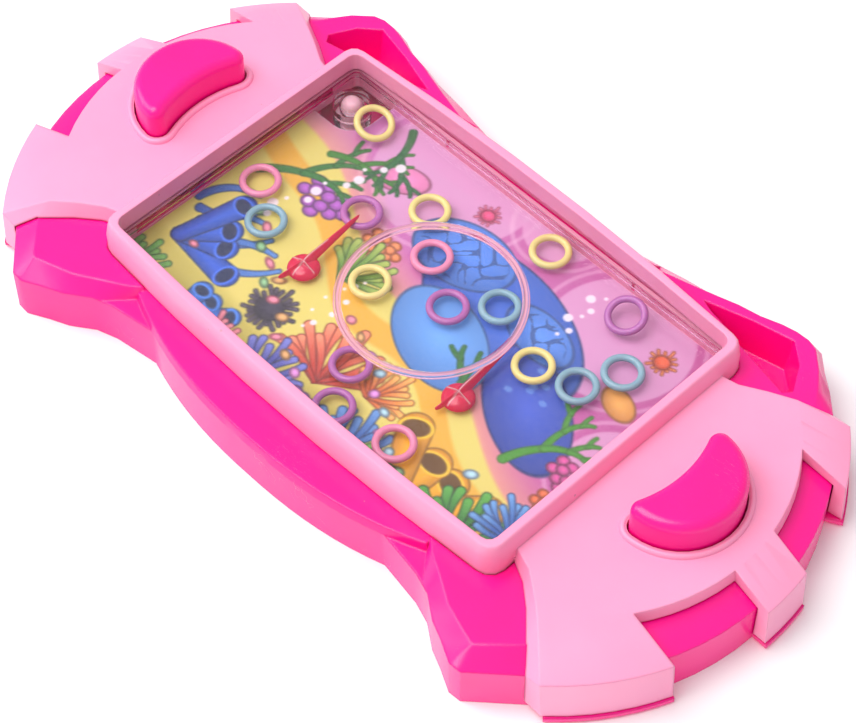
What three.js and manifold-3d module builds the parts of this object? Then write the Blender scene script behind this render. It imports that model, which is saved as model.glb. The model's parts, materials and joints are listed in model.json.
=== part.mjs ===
// Water ring toss game lying on its back: X along the case, Y up the picture, Z up, millimetres.

import * as THREE from 'three';
import { mergeVertices } from 'three/addons/utils/BufferGeometryUtils.js';
import { ConvexGeometry } from 'three/addons/geometries/ConvexGeometry.js';
import Module from 'manifold-3d';

const wasm = await Module();
wasm.setup();

// Clearances between neighbouring pieces.
const GAP = 0.3;
const THIN_GAP = 0.25;
const BUTTON_GAP = 0.4;

// Tank: clear tray, window plate and what they hold.
const TANK_Y = -0.6;
const TANK_HALF_X = 55.3;
const TANK_HALF_Y = 34.9;
const TANK_DEPTH = 4.2;
const TRAY_WALL = 0.8;
const TRAY_FLOOR = 1.0;
const TRAY_CORNER = 1.6;
const LEDGE_DROP = 1.6;
const LEDGE_STEP = 0.25;
const SEAL_HEIGHT = 0.5;
const WINDOW_THICK = 1.4;
const WINDOW_TOP = 17.0;
const LENS_CENTRE = [2.7, 0.7];
const LENS_RADIUS = 18.9;
const LENS_SAG = 1.2;
const CARD_THICK = 0.3;

// Plan points given from the tank's front or back right corner: outward along X, then along Y.
const fromFront = (points) => points.map(([u, v, ...z]) => [TANK_HALF_X + u, -TANK_HALF_Y - v, ...z]);
const fromBack = (points) => points.map(([u, v, ...z]) => [TANK_HALF_X + u, TANK_HALF_Y + v, ...z]);

// Filler collar and plug in the back left tank corner.
const PLUG_CENTRE = [-TANK_HALF_X + 5.3, TANK_HALF_Y - 7.1];
const PLUG_RADIUS = 2.45;
const PLUG_DOME = 1.9;
const COLLAR_RADIUS = 4.3;
const COLLAR_RISE = 1.6;
const PLUG_FLANGE_RADIUS = 3.9;
const PLUG_FLANGE = 1.4;

// Jet ports in the front corners of the tank and the hoses that feed them.
const JET_X = TANK_HALF_X - 4.3;
const JET_Y = -TANK_HALF_Y + 1.9;
const JET_BORE = 0.7;
const JET_RADIUS = 1.2;
const STUB_LENGTH = 4.0;
const HOSE_WALL = 0.6;
const HOSE_Z = 4.4;

// Ring pins: dome foot on the tray floor with ribs and a long spike.
const PIN_DOME_RADIUS = 3.6;
const PIN_HEADROOM = 0.7;
const PIN_RIB_RISE = 0.5;
const PIN_RIB_HALF = 0.6;
const PINS = [
  { name: 'pin_left', dome: [-24.2, -10.3], tip: [-25.1, 6.8], tail: [-25.9, -16.0] },
  { name: 'pin_right', dome: [22.0, -10.6], tip: [20.9, 6.6], tail: [20.8, -16.1] },
];

// Loose rings: centre as shares of the tank's half sizes. A leaning ring rests against the window.
const RING_MEAN_RADIUS = 3.825;
const RING_SECTION = 0.8;
const LEAN_GAP = 0.25;
const RINGS = [
  { name: 'ring_yellow_1', colour: 'yellow', at: [-0.298, 0.544] },
  { name: 'ring_yellow_2', colour: 'yellow', at: [-0.208, -0.095] },
  { name: 'ring_yellow_3', colour: 'yellow', at: [0.163, 0.842] },
  { name: 'ring_yellow_4', colour: 'yellow', at: [0.492, 0.160] },
  { name: 'ring_yellow_5', colour: 'yellow', at: [-0.759, 0.774], toward: 180 },
  { name: 'ring_pink_1', colour: 'pink', at: [-0.132, 0.304] },
  { name: 'ring_pink_2', colour: 'pink', at: [0.387, -0.797] },
  { name: 'ring_pink_3', colour: 'pink', at: [-0.864, -0.032] },
  { name: 'ring_purple_1', colour: 'purple', at: [-0.474, 0.238] },
  { name: 'ring_purple_2', colour: 'purple', at: [0.081, 0.106] },
  { name: 'ring_purple_3', colour: 'purple', at: [0.580, 0.797], toward: 90 },
  { name: 'ring_purple_4', colour: 'purple', at: [0.022, -0.593] },
  { name: 'ring_purple_5', colour: 'purple', at: [0.116, -0.868] },
  { name: 'ring_blue_1', colour: 'blue', at: [0.217, 0.327] },
  { name: 'ring_blue_2', colour: 'blue', at: [0.669, 0.238] },
  { name: 'ring_blue_3', colour: 'blue', at: [0.743, 0.496] },
  { name: 'ring_blue_4', colour: 'blue', at: [-0.700, -0.221] },
];

// Window frame of the top cover: bowed long sides round the tank window.
const FRAME_TOP = 21.8;
const FRAME_FOOT = 13.5;
const FRAME_COVERS = 0.5;
const FRAME_WIDTH = 2.0;
const FRAME_SIDE_WIDTH = 1.5;
const FRAME_IN_BOW = 1.5;
const FRAME_OUT_BOW = 2.2;
const FRAME_DRAFT = 0.7;
const FRAME_DRAFT_HEIGHT = 3.2;
const FRAME_IN_CORNER = 2.2;
const FRAME_OUT_CORNER = 3.0;
const WINDOW_LAP = 1.2;

// End covers of the top cover: flat top inside the crease, three tabs down to the lip.
const COVER_TOP = 17.5;
const COVER_FOOT = 14.3;
const COVER_SKIN = 1.8;
const CREASE_INSET = 6.2;
const CREASE_Y = -1.0;
const TAB_STANDOUT = 2.8;
const TAB_FLARE = 0.6;
const TAB_TOP = 12.6;
const TAB_FOOT = 2.2;
const TAB_WALL = 1.5;
const TAB_TUCK = 1.9;
const COVER_WALL = 1.6;
const COVER_FLARE = 0.35;
const COVER_FRONT_TOP = fromFront([[0.7, -5.3], [2.3, -4.9], [7.0, -3.2], [11.5, 0.0], [16.2, 3.9]]);
const COVER_FRONT_FOOT = fromFront([[0.7, -4.9], [2.1, -4.1], [6.8, -1.8], [11.2, 1.8], [16.6, 7.3]]);
const COVER_BACK_TOP = fromBack([[16.5, -0.3], [11.1, -2.9], [5.9, -5.8], [3.2, -6.4], [0.7, -6.7]]);
const COVER_BACK_FOOT = fromBack([[18.3, 2.1], [11.7, -1.0], [6.3, -4.1], [3.2, -5.0], [0.7, -5.3]]);
const [FRONT_CHEEK, FRONT_CHEEK_INNER, FRONT_NOTCH] = fromFront([[20.2, 11.2], [20.7, 4.1], [27.4, -10.3]]);
const [BACK_CHEEK, BACK_CHEEK_INNER] = fromBack([[22.3, 5.9], [21.7, 0.1]]);
const MIDDLE_TAB_Y = 2.1;
const MIDDLE_TAB_HALF = 6.0;

// Base shell: outer wall outline of the right half, from the front middle round to the back middle.
const WALL = 1.8;
const WALL_TOP = 11.1;
const RIM_REACH = 40.7;
const RIM_Y = -1.5;
const LIP_STANDOUT = 1.0;
const LIP_FOOT = 0.6;
const BLOCK_TOP = 13.7;
const BLOCK_STEP = 0.5;
const BULGE_TOP = 13.2;
const BULGE_END = 12.1;
const BULGE_REACH = 13.3;
const BULGE_DROP = 8.3;
const BULGE_STEP = 0.5;
const BAND_END = 21.6;
const BAND_REACH = 6.7;
const BAND_RISE = 4.0;
const BAND_STEP = 1.3;
const LOBE_TOP = 14.0;
const FRONT_WAIST = fromFront([[-14.6, 9.3], [-10.3, 10.0]]);
const FRONT_LOBE_LOW = fromFront([
  [-12.1, 5.3], [-7.4, 10.9], [-5.5, 11.6], [-0.5, 15.1], [3.6, 16.9], [8.3, 19.3], [11.2, 19.1], [20.2, 11.0],
]);
const FRONT_LOBE_HIGH = fromFront([
  [-13.7, 2.7], [-10.5, 5.4], [-4.8, 8.6], [0.2, 11.6], [4.9, 13.2], [9.1, 14.5], [9.9, 14.2], [16.6, 7.5],
]);
const FRONT_LOBE_INNER = fromFront([[18.7, 1.1], [4.7, -6.9], [-13.3, -2.9]]);
const BACK_RIM_TOP = 14.4;
const BACK_LOBE_LOW = fromBack([
  [22.2, 5.5], [17.4, 9.9], [13.4, 13.0], [10.0, 16.1], [7.3, 16.3], [4.2, 16.6], [0.9, 15.8],
  [-3.8, 13.7], [-8.8, 13.1], [-13.0, 11.9], [-21.6, 10.7], [-28.4, 9.3],
]);
const BACK_LOBE_HIGH = fromBack([
  [18.9, 2.7, 13.6], [16.7, 6.5, 13.9], [13.4, 10.5], [9.6, 14.0], [7.1, 14.7], [4.2, 14.6], [0.9, 13.9],
  [-3.8, 12.3], [-8.8, 11.3], [-13.0, 10.0], [-18.8, 8.3], [-25.3, 6.5],
]);
const BACK_LOBE_INNER = fromBack([[-27.3, -0.9], [4.7, -7.9], [18.7, -3.9, 13.6]]);
const SCOOP_RIM = fromBack([
  [-14.7, 7.1], [-11.7, 6.1], [-5.5, 5.0], [-1.7, 3.8], [11.9, 1.2], [13.3, 3.1], [9.9, 8.9], [5.3, 12.5],
  [-4.3, 10.3],
]);
const SCOOP_TAPER = 1.3;
const SCOOP_FLOOR = 5.6;
const SCOOP_WALL = 1.3;
const BAY_INSET = 3.0;
const BAY_HALF_Y = 19.0;

// Deck and well of the base shell, which carry the tank.
const DECK_THICK = 1.6;
const WELL_WALL = 1.5;
const FILLER_ROOM = 1.5;

// Back plate, posts, bosses and screws.
const PLATE_THICK = 1.6;
const POST_AT = [TANK_HALF_X + 5.0, TANK_HALF_Y - 10.9];
const POST_RADIUS = 2.9;
const POST_FOOT = 4.2;
const POST_TOP = 11.0;
const BOSS_RADIUS = 2.5;
const [FRONT_BOSS_AT] = fromFront([[9.7, 8.6]]);
const [BACK_BOSS_AT] = fromBack([[19.9, -1.3]]);
const SCREW_RADIUS = 1.2;
const SCREW_HEAD_RADIUS = 2.3;
const SCREW_HEAD = 1.1;

// Pump buttons, kidney shaped, with the concave side toward the window.
const BUTTON_CENTRE = [TANK_HALF_X + 14.9, 1.2];
const BUTTON_RADIUS = 13.4;
const BUTTON_WAIST = 13.15;
const HOLLOW_RADIUS = 27.6;
const BUTTON_CORNER = 2.4;
const BUTTON_TOP = 25.5;
const BUTTON_ROUND = 1.5;
const BUTTON_WALL = 1.6;
const BUTTON_FLANGE = 1.3;
const BUTTON_FLANGE_THICK = 1.4;
const LIP_RISE = 0.7;
const LIP_WIDTH = 1.3;
const BELLOWS_RADIUS = 6.0;
const BELLOWS_HEIGHT = 7.2;
const SEAT_RADIUS = 7.2;

// Heights and sizes that follow from the values above.
const WINDOW_BOTTOM = WINDOW_TOP - WINDOW_THICK;
const FLOOR_Z = WINDOW_BOTTOM - TANK_DEPTH;
const TRAY_BOTTOM = FLOOR_Z - TRAY_FLOOR;
const SEAL_TOP = WINDOW_BOTTOM - THIN_GAP;
const SEAL_BOTTOM = SEAL_TOP - SEAL_HEIGHT;
const TRAY_TOP = SEAL_BOTTOM - THIN_GAP;
const CARD_BOTTOM = TRAY_BOTTOM - THIN_GAP - CARD_THICK;
const DECK_TOP = CARD_BOTTOM - THIN_GAP;
const DECK_BOTTOM = DECK_TOP - DECK_THICK;
const TRAY_HALF_X = TANK_HALF_X + TRAY_WALL;
const TRAY_HALF_Y = TANK_HALF_Y + TRAY_WALL;
const REBATE_TOP = WINDOW_TOP + THIN_GAP;
const HOLE_RADIUS = SCREW_RADIUS + GAP;
const PLUG_BORE = PLUG_RADIUS + GAP;
const COLLAR_FOOT = DECK_BOTTOM - 0.4;
const HOSE_BORE = JET_RADIUS + GAP;
const HOSE_RADIUS = HOSE_BORE + HOSE_WALL;
const PIN_FOOT = FLOOR_Z + GAP;
const PIN_CROWN = WINDOW_BOTTOM - PIN_HEADROOM;
const RIM_END = TANK_HALF_X + RIM_REACH;
const [FRONT_BASE_CORNER, BACK_BASE_CORNER] = [FRONT_LOBE_LOW.at(-1), BACK_LOBE_LOW[0]];
const HOLLOW_CENTRE_X = BUTTON_CENTRE[0] + BUTTON_RADIUS - BUTTON_WAIST - HOLLOW_RADIUS;
const PUMP_X = BUTTON_CENTRE[0] + BUTTON_RADIUS - BUTTON_WAIST / 2;
const FLANGE_TOP = COVER_TOP - COVER_SKIN - GAP;
const FLANGE_BOTTOM = FLANGE_TOP - BUTTON_FLANGE_THICK;
const BELLOWS_TOP = FLANGE_BOTTOM - GAP;
const BELLOWS_BOTTOM = BELLOWS_TOP - BELLOWS_HEIGHT;
const SEAT_TOP = BELLOWS_BOTTOM - GAP;

const COLOURS = {
  hot: 0xfb1e96,
  light: 0xfcb4da,
  clear: 0xf3f0f4,
  seal: 0xe9b9cb,
  card: 0xd79be0,
  plug: 0xe1b4c3,
  pin: 0xeb3c6e,
  yellow: 0xebdc8c,
  pink: 0xf096be,
  purple: 0xbe73be,
  blue: 0x91b4be,
  rubber: 0xd8d2cc,
  hose: 0xe6e3df,
  seat: 0xf2f0ee,
  steel: 0xb9bcc0,
};

const game = new THREE.Group();
game.name = 'water_ring_toss_game';

function finish(name, geometry, colour, roughness, metalness = 0, opacity = 1) {
  const material = new THREE.MeshStandardMaterial({ color: COLOURS[colour], roughness, metalness });
  material.opacity = opacity;
  material.transparent = opacity < 1;
  const mesh = new THREE.Mesh(geometry, material);
  mesh.name = name;
  game.add(mesh);
}

function toManifold(geometry) {
  const bare = geometry.clone();
  bare.deleteAttribute('normal');
  bare.deleteAttribute('uv');
  const merged = mergeVertices(bare, 1e-5);
  return new wasm.Manifold(new wasm.Mesh({
    numProp: 3,
    vertProperties: Float32Array.from(merged.attributes.position.array),
    triVerts: Uint32Array.from(merged.index.array),
  }));
}

function toGeometry(manifold) {
  const mesh = manifold.getMesh();
  const geometry = new THREE.BufferGeometry();
  geometry.setAttribute('position', new THREE.BufferAttribute(Float32Array.from(mesh.vertProperties), 3));
  geometry.setIndex(new THREE.BufferAttribute(Uint32Array.from(mesh.triVerts), 1));
  geometry.computeVertexNormals();
  return geometry;
}

function join(...pieces) {
  return toGeometry(pieces.map(toManifold).reduce((sum, piece) => sum.add(piece)));
}

function cut(body, ...tools) {
  return toGeometry(tools.map(toManifold).reduce((left, tool) => left.subtract(tool), toManifold(body)));
}

function common(a, b) {
  return toGeometry(toManifold(a).intersect(toManifold(b)));
}

// Triangles of a closed polygon in space, in the order of its points.
function capFaces(polygon) {
  const normal = [0, 0, 0];
  polygon.forEach((p, i) => {
    const q = polygon[(i + 1) % polygon.length];
    normal[0] += (p[1] - q[1]) * (p[2] + q[2]);
    normal[1] += (p[2] - q[2]) * (p[0] + q[0]);
    normal[2] += (p[0] - q[0]) * (p[1] + q[1]);
  });
  const size = normal.map(Math.abs);
  const axes = [0, 1, 2].filter((axis) => axis !== size.indexOf(Math.max(...size)));
  const flat = polygon.map((p) => new THREE.Vector2(p[axes[0]], p[axes[1]]));
  const turn = Math.sign(THREE.ShapeUtils.area(flat));
  return THREE.ShapeUtils.triangulateShape(flat.slice(), []).map(([a, b, c]) => {
    const same = Math.sign(THREE.ShapeUtils.area([flat[a], flat[b], flat[c]])) === turn;
    return same ? [a, b, c] : [a, c, b];
  });
}

// Closed solid through a row of sections, each a polygon in space with the same number of points.
function skin(sections) {
  const count = sections[0].length;
  const last = (sections.length - 1) * count;
  const index = [];
  for (let s = 0; s + 1 < sections.length; s += 1) {
    for (let i = 0; i < count; i += 1) {
      const a = s * count + i;
      const b = s * count + ((i + 1) % count);
      index.push(a, b, b + count, a, b + count, a + count);
    }
  }
  capFaces(sections[0]).forEach(([a, b, c]) => index.push(a, c, b));
  capFaces(sections.at(-1)).forEach(([a, b, c]) => index.push(last + a, last + b, last + c));
  const points = sections.flat();
  let volume = 0;
  for (let i = 0; i < index.length; i += 3) {
    const [a, b, c] = [points[index[i]], points[index[i + 1]], points[index[i + 2]]];
    volume += a[0] * (b[1] * c[2] - b[2] * c[1]);
    volume += a[1] * (b[2] * c[0] - b[0] * c[2]);
    volume += a[2] * (b[0] * c[1] - b[1] * c[0]);
  }
  if (volume < 0) {
    for (let i = 0; i < index.length; i += 3) {
      [index[i + 1], index[i + 2]] = [index[i + 2], index[i + 1]];
    }
  }
  const geometry = new THREE.BufferGeometry();
  geometry.setAttribute('position', new THREE.Float32BufferAttribute(points.flat(), 3));
  geometry.setIndex(index);
  return geometry;
}

const lift = (points, z) => points.map(([x, y]) => [x, y, z]);
const slab = (points, low, high) => skin([lift(points, low), lift(points, high)]);
const mirror = (points) => points.map(([x, ...rest]) => [-x, ...rest]);
const degrees = (angle) => (angle * Math.PI) / 180;
const bearing = (centre, point) => Math.atan2(point[1] - centre[1], point[0] - centre[0]);

function arc(centre, radius, from, to, steps) {
  return Array.from({ length: steps + 1 }, (_, i) => {
    const angle = from + ((to - from) * i) / steps;
    return [centre[0] + radius * Math.cos(angle), centre[1] + radius * Math.sin(angle)];
  });
}

// Centre and radius of the circle through three points.
function circleThrough(a, b, c) {
  const turn = 2 * (a[0] * (b[1] - c[1]) + b[0] * (c[1] - a[1]) + c[0] * (a[1] - b[1]));
  const [p, q, r] = [a, b, c].map(([x, y]) => x * x + y * y);
  const x = (p * (b[1] - c[1]) + q * (c[1] - a[1]) + r * (a[1] - b[1])) / turn;
  const y = (p * (c[0] - b[0]) + q * (a[0] - c[0]) + r * (b[0] - a[0])) / turn;
  return { centre: [x, y], radius: Math.hypot(a[0] - x, a[1] - y) };
}

// The case's round end, and the crease where an end cover's flat top meets its tabs.
const RIM = circleThrough(FRONT_BASE_CORNER, [RIM_END, RIM_Y], BACK_BASE_CORNER);
const CREASE = circleThrough(FRONT_NOTCH, [RIM_END - CREASE_INSET, CREASE_Y], COVER_BACK_TOP[0]);
const TAB_RADIUS = RIM.radius + TAB_STANDOUT;
const LIP_RADIUS = TAB_RADIUS + LIP_STANDOUT;
const TABS = [
  {
    crease: [COVER_FRONT_TOP.at(-1)[1], FRONT_NOTCH[1]],
    rim: [FRONT_CHEEK[1] - 0.1, FRONT_NOTCH[1] - 0.5],
    tuck: [TAB_TUCK, 0],
  },
  { crease: [MIDDLE_TAB_Y - MIDDLE_TAB_HALF, MIDDLE_TAB_Y + MIDDLE_TAB_HALF], tuck: [0, 0] },
  {
    crease: [COVER_BACK_TOP[0][1] - 8.2, COVER_BACK_TOP[0][1]],
    rim: [BACK_CHEEK[1] - 12.5, BACK_CHEEK[1] - 0.5],
    tuck: [0, -TAB_TUCK],
  },
];
TABS[1].rim = TABS[1].crease;

// Half of a curved side: y starts at the middle and changes with a power of the share of its length.
function curvedSide(length, middle, change, power, from, to, steps) {
  return Array.from({ length: steps + 1 }, (_, i) => {
    const share = (from * (steps - i) + to * i) / steps;
    return [length * share, middle + change * share ** power];
  });
}

const bulgeSide = (step, to, steps) => curvedSide(
  TANK_HALF_X - BULGE_END - step, step - TANK_HALF_Y - BULGE_REACH, BULGE_DROP - 0.6 * step, 2.35, 0, to, steps,
);
const bandSide = (step, from, steps) => curvedSide(
  TANK_HALF_X - BAND_END, TANK_HALF_Y + BAND_REACH - step, BAND_RISE - 0.8 * step, 1.83, from, 0, steps,
);

const circle = (centre, radius, steps) => arc(centre, radius, 0, 2 * Math.PI, steps).slice(0, -1);
const disc = (centre, radius, low, high, steps = 20) => slab(circle(centre, radius, steps), low, high);

// Outline moved outward by a distance, or inward when it is negative. The points run anticlockwise.
function offset(points, distance) {
  return points.map((point, i) => {
    const before = points[(i + points.length - 1) % points.length];
    const after = points[(i + 1) % points.length];
    const inLength = Math.hypot(point[0] - before[0], point[1] - before[1]);
    const outLength = Math.hypot(after[0] - point[0], after[1] - point[1]);
    const first = [(point[1] - before[1]) / inLength, (before[0] - point[0]) / inLength];
    const second = [(after[1] - point[1]) / outLength, (point[0] - after[0]) / outLength];
    const sum = [first[0] + second[0], first[1] + second[1]];
    const reach = (2 * distance) / Math.max(sum[0] ** 2 + sum[1] ** 2, 1.2);
    return [point[0] + sum[0] * reach, point[1] + sum[1] * reach, ...point.slice(2)];
  });
}

// Rectangle about the tank centre with rounded corners and long sides that may bow outward.
function tankOutline(halfX, cornerY, corner, midY = cornerY) {
  const reach = halfX - corner;
  const steps = midY > cornerY ? 10 : 1;
  const side = Array.from({ length: steps - 1 }, (_, i) => {
    const share = 1 - (2 * (i + 1)) / steps;
    return [reach * share, midY - (midY - cornerY) * share ** 2];
  });
  const quarter = (sx, sy, from) => arc([sx * reach, sy * (cornerY - corner)], corner, from, from + Math.PI / 2, 3);
  const ring = [
    ...quarter(1, 1, 0), ...side,
    ...quarter(-1, 1, Math.PI / 2), ...quarter(-1, -1, Math.PI),
    ...side.map(([x, y]) => [-x, -y]), ...quarter(1, -1, 1.5 * Math.PI),
  ];
  return ring.map(([x, y]) => [x, y + TANK_Y]);
}

const openingOutline = (grow) => tankOutline(
  TANK_HALF_X - FRAME_COVERS + grow, TANK_HALF_Y - FRAME_COVERS + grow, FRAME_IN_CORNER,
  TANK_HALF_Y - FRAME_COVERS + FRAME_IN_BOW + grow,
);
const frameOutline = (grow) => tankOutline(
  TANK_HALF_X - FRAME_COVERS + FRAME_WIDTH + grow, TANK_HALF_Y - FRAME_COVERS + FRAME_SIDE_WIDTH + grow,
  FRAME_OUT_CORNER + grow, TANK_HALF_Y - FRAME_COVERS + FRAME_SIDE_WIDTH + FRAME_OUT_BOW + grow,
);
const trayOutline = (grow) => tankOutline(TRAY_HALF_X + grow, TRAY_HALF_Y + grow, TRAY_CORNER);
const interiorOutline = (grow) => tankOutline(TANK_HALF_X + grow, TANK_HALF_Y + grow, TRAY_CORNER);

// Kidney outline of a button: two arcs joined by round corners, grown evenly by a distance.
function kidney(grow) {
  const outer = BUTTON_RADIUS + grow;
  const hollow = HOLLOW_RADIUS - grow;
  const corner = BUTTON_CORNER + grow;
  const apart = BUTTON_CENTRE[0] - HOLLOW_CENTRE_X;
  const fromOuter = BUTTON_RADIUS - BUTTON_CORNER;
  const fromHollow = HOLLOW_RADIUS + BUTTON_CORNER;
  const along = (fromHollow ** 2 - fromOuter ** 2 + apart ** 2) / (2 * apart);
  const up = Math.sqrt(fromHollow ** 2 - along ** 2);
  const tip = [HOLLOW_CENTRE_X + along, BUTTON_CENTRE[1] + up];
  const start = bearing(BUTTON_CENTRE, tip);
  const pinch = Math.atan2(up, along);
  const low = [tip[0], BUTTON_CENTRE[1] - up];
  return [
    ...arc(BUTTON_CENTRE, outer, -start, start, 18),
    ...arc(tip, corner, start, Math.PI + pinch, 6).slice(1),
    ...arc([HOLLOW_CENTRE_X, BUTTON_CENTRE[1]], hollow, pinch, -pinch, 8).slice(1),
    ...arc(low, corner, Math.PI - pinch, 2 * Math.PI - start, 6).slice(1, -1),
  ];
}

// Whole wall outline of the base shell, anticlockwise from the front middle.
function baseOutline(grow) {
  const [from, to] = [FRONT_BASE_CORNER, BACK_BASE_CORNER].map((p) => bearing(RIM.centre, p));
  const right = [
    ...bulgeSide(0, 0.8, 9), ...FRONT_WAIST, ...FRONT_LOBE_LOW.slice(2, -1),
    ...arc(RIM.centre, RIM.radius, from, to, 20),
    ...BACK_LOBE_LOW.slice(1, -2), ...bandSide(0, 1, 6),
  ];
  const left = mirror(right).slice(1, -1).reverse();
  return offset([...right, ...left], grow);
}

function flipX(geometry) {
  const flipped = geometry.clone();
  const position = flipped.attributes.position;
  for (let i = 0; i < position.count; i += 1) {
    position.setX(i, -position.getX(i));
  }
  const index = Array.from(flipped.index.array);
  for (let i = 0; i < index.length; i += 3) {
    [index[i + 1], index[i + 2]] = [index[i + 2], index[i + 1]];
  }
  flipped.setIndex(index);
  return flipped;
}

const bothEnds = (geometry) => [geometry, flipX(geometry)];
const across = (points) => [...mirror(points).slice(1).reverse(), ...points];
const withHeight = (points, z, grow) => points.map((p) => [p[0], p[1], (p[2] ?? z) + grow]);

// Upper part of the base shell above the wall: a low and a high edge closed by inner points.
function shoulder(low, high, inner, top, grow) {
  const foot = [...low, ...inner];
  return skin([
    lift(offset(foot, grow - 0.5), WALL_TOP - 1),
    lift(offset(foot, grow), WALL_TOP + grow),
    withHeight(offset([...high, ...inner], grow), top, grow),
  ]);
}

// Flat-topped ends of the base shell under the end covers, seen as blocks between the tabs.
function endBlock(grow) {
  const from = [FRONT_BASE_CORNER, BACK_BASE_CORNER].map((p) => bearing(RIM.centre, p));
  const to = [COVER_FRONT_TOP.at(-1), COVER_BACK_TOP[0]].map((p) => bearing(CREASE.centre, p));
  const inner = TANK_HALF_Y - 8.9;
  return shoulder(
    arc(RIM.centre, RIM.radius, ...from, 20),
    arc(CREASE.centre, CREASE.radius + BLOCK_STEP, ...to, 20),
    [[TANK_HALF_X + 2.7, inner], [TANK_HALF_X + 2.7, -inner]], BLOCK_TOP, grow,
  );
}

const rimX = (y, radius) => RIM.centre[0] + Math.sqrt(radius ** 2 - (y - RIM.centre[1]) ** 2);

// X of the crease at a height in plan: straight from the front corner to the first notch, then round.
function creaseX(y, grow = 0) {
  const corner = COVER_FRONT_TOP.at(-1);
  if (y < FRONT_NOTCH[1]) {
    const share = (y - corner[1]) / (FRONT_NOTCH[1] - corner[1]);
    return corner[0] + (FRONT_NOTCH[0] - corner[0]) * share + grow;
  }
  return CREASE.centre[0] + Math.sqrt((CREASE.radius + grow) ** 2 - (y - CREASE.centre[1]) ** 2);
}

// Thin lip of the base shell that each tab stands over.
function lipUnder(tab) {
  const ends = tab.rim.map((y) => bearing(RIM.centre, [rimX(y, LIP_RADIUS), y]));
  const outer = arc(RIM.centre, LIP_RADIUS, ...ends, 7);
  const inner = arc(RIM.centre, RIM.radius - 1, ends[1], ends[0], 7);
  return slab([...outer, ...inner], LIP_FOOT, TAB_FOOT - GAP);
}

function baseOuter(grow) {
  const lobes = [
    endBlock(grow),
    shoulder(FRONT_LOBE_LOW, FRONT_LOBE_HIGH, FRONT_LOBE_INNER, LOBE_TOP, grow),
    shoulder(BACK_LOBE_LOW, BACK_LOBE_HIGH, BACK_LOBE_INNER, BACK_RIM_TOP, grow),
    ...TABS.map(lipUnder),
  ];
  const bulgeInner = [TANK_HALF_X - BULGE_END - 2.2, 2.9 - TANK_HALF_Y];
  const band = (step) => {
    const side = bandSide(step, 0.8, 6);
    return [...side, ...mirror(side).slice(0, -1).reverse()];
  };
  return join(
    slab(baseOutline(grow), 0, WALL_TOP + grow),
    shoulder(
      across(bulgeSide(0, 1, 11)), across(bulgeSide(BULGE_STEP, 1, 11)),
      [bulgeInner, [-bulgeInner[0], bulgeInner[1]]], BULGE_TOP, grow,
    ),
    shoulder(
      band(0), band(BAND_STEP),
      [[-TANK_HALF_X + 28.3, TANK_HALF_Y - 1.9], [TANK_HALF_X - 28.3, TANK_HALF_Y - 1.9]], BULGE_TOP, grow,
    ),
    ...lobes.flatMap(bothEnds),
  );
}

const coverFoot = () => [
  ...COVER_FRONT_FOOT, ...creaseLine(COVER_FLARE), ...COVER_BACK_FOOT,
];
const coverCrease = () => [...COVER_FRONT_TOP, ...creaseLine(0), ...COVER_BACK_TOP];

// Points of the crease from the first notch to the back corner of an end cover.
function creaseLine(grow) {
  const [low, high] = [FRONT_NOTCH[1], COVER_BACK_TOP[0][1]];
  return Array.from({ length: 18 }, (_, i) => {
    const y = low + ((high - low) * i) / 18;
    return [creaseX(y, grow), y];
  });
}

// Kidney-shaped pump cap: rounded top edge, hollow underneath, flange that stays under the cover.
function buttonCap() {
  const shell = join(
    slab(kidney(BUTTON_FLANGE), FLANGE_BOTTOM, FLANGE_TOP),
    skin([
      lift(kidney(0), FLANGE_BOTTOM + 0.4),
      ...[0, 0.3, 0.6, 0.85, 1].map((share) => {
        const turn = (share * Math.PI) / 2;
        const inset = BUTTON_ROUND * (1 - Math.cos(turn));
        return lift(kidney(-inset), BUTTON_TOP - BUTTON_ROUND * (1 - Math.sin(turn)));
      }),
    ]),
  );
  const hollow = slab(kidney(-BUTTON_WALL), FLANGE_BOTTOM - 1, BUTTON_TOP - BUTTON_WALL - 0.6);
  const post = disc([PUMP_X, BUTTON_CENTRE[1]], 2.6, FLANGE_BOTTOM, BUTTON_TOP - 1.2, 14);
  return join(cut(shell, hollow), post);
}

// Squeezable bellows that pumps the water and pushes the button back up.
function bellows() {
  const waist = BELLOWS_RADIUS - 1.1;
  const profile = [
    [0, 0], [BELLOWS_RADIUS, 0], [BELLOWS_RADIUS, 0.16], [waist, 0.3], [BELLOWS_RADIUS, 0.44],
    [waist, 0.58], [BELLOWS_RADIUS, 0.72], [waist, 0.86], [waist, 1], [0, 1],
  ].map(([r, share]) => new THREE.Vector2(r, share * BELLOWS_HEIGHT));
  const turned = new THREE.LatheGeometry(profile, 18).rotateX(Math.PI / 2);
  return turned.translate(PUMP_X, BUTTON_CENTRE[1], BELLOWS_BOTTOM);
}

// Seat on the back plate that carries the bellows and leads the water to a stub.
function pumpSeat() {
  const at = [PUMP_X, BUTTON_CENTRE[1]];
  const stubFrom = PUMP_X - SEAT_RADIUS;
  const body = join(
    disc(at, SEAT_RADIUS, PLATE_THICK + GAP, SEAT_TOP, 24),
    rodX(stubFrom - STUB_LENGTH, stubFrom + 1, BUTTON_CENTRE[1], HOSE_Z, JET_RADIUS),
  );
  return cut(
    body,
    disc(at, 2, HOSE_Z - 1, SEAT_TOP + 1, 14),
    rodX(stubFrom - STUB_LENGTH - 1, PUMP_X, BUTTON_CENTRE[1], HOSE_Z, JET_BORE),
  );
}

const rodX = (from, to, y, z, radius, steps = 10) => skin([from, to].map(
  (x) => circle([y, z], radius, steps).map(([a, b]) => [x, a, b]),
));
const rodY = (from, to, x, z, radius, steps = 10) => skin([from, to].map(
  (y) => circle([x, z], radius, steps).map(([a, b]) => [a, y, b]),
));

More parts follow.
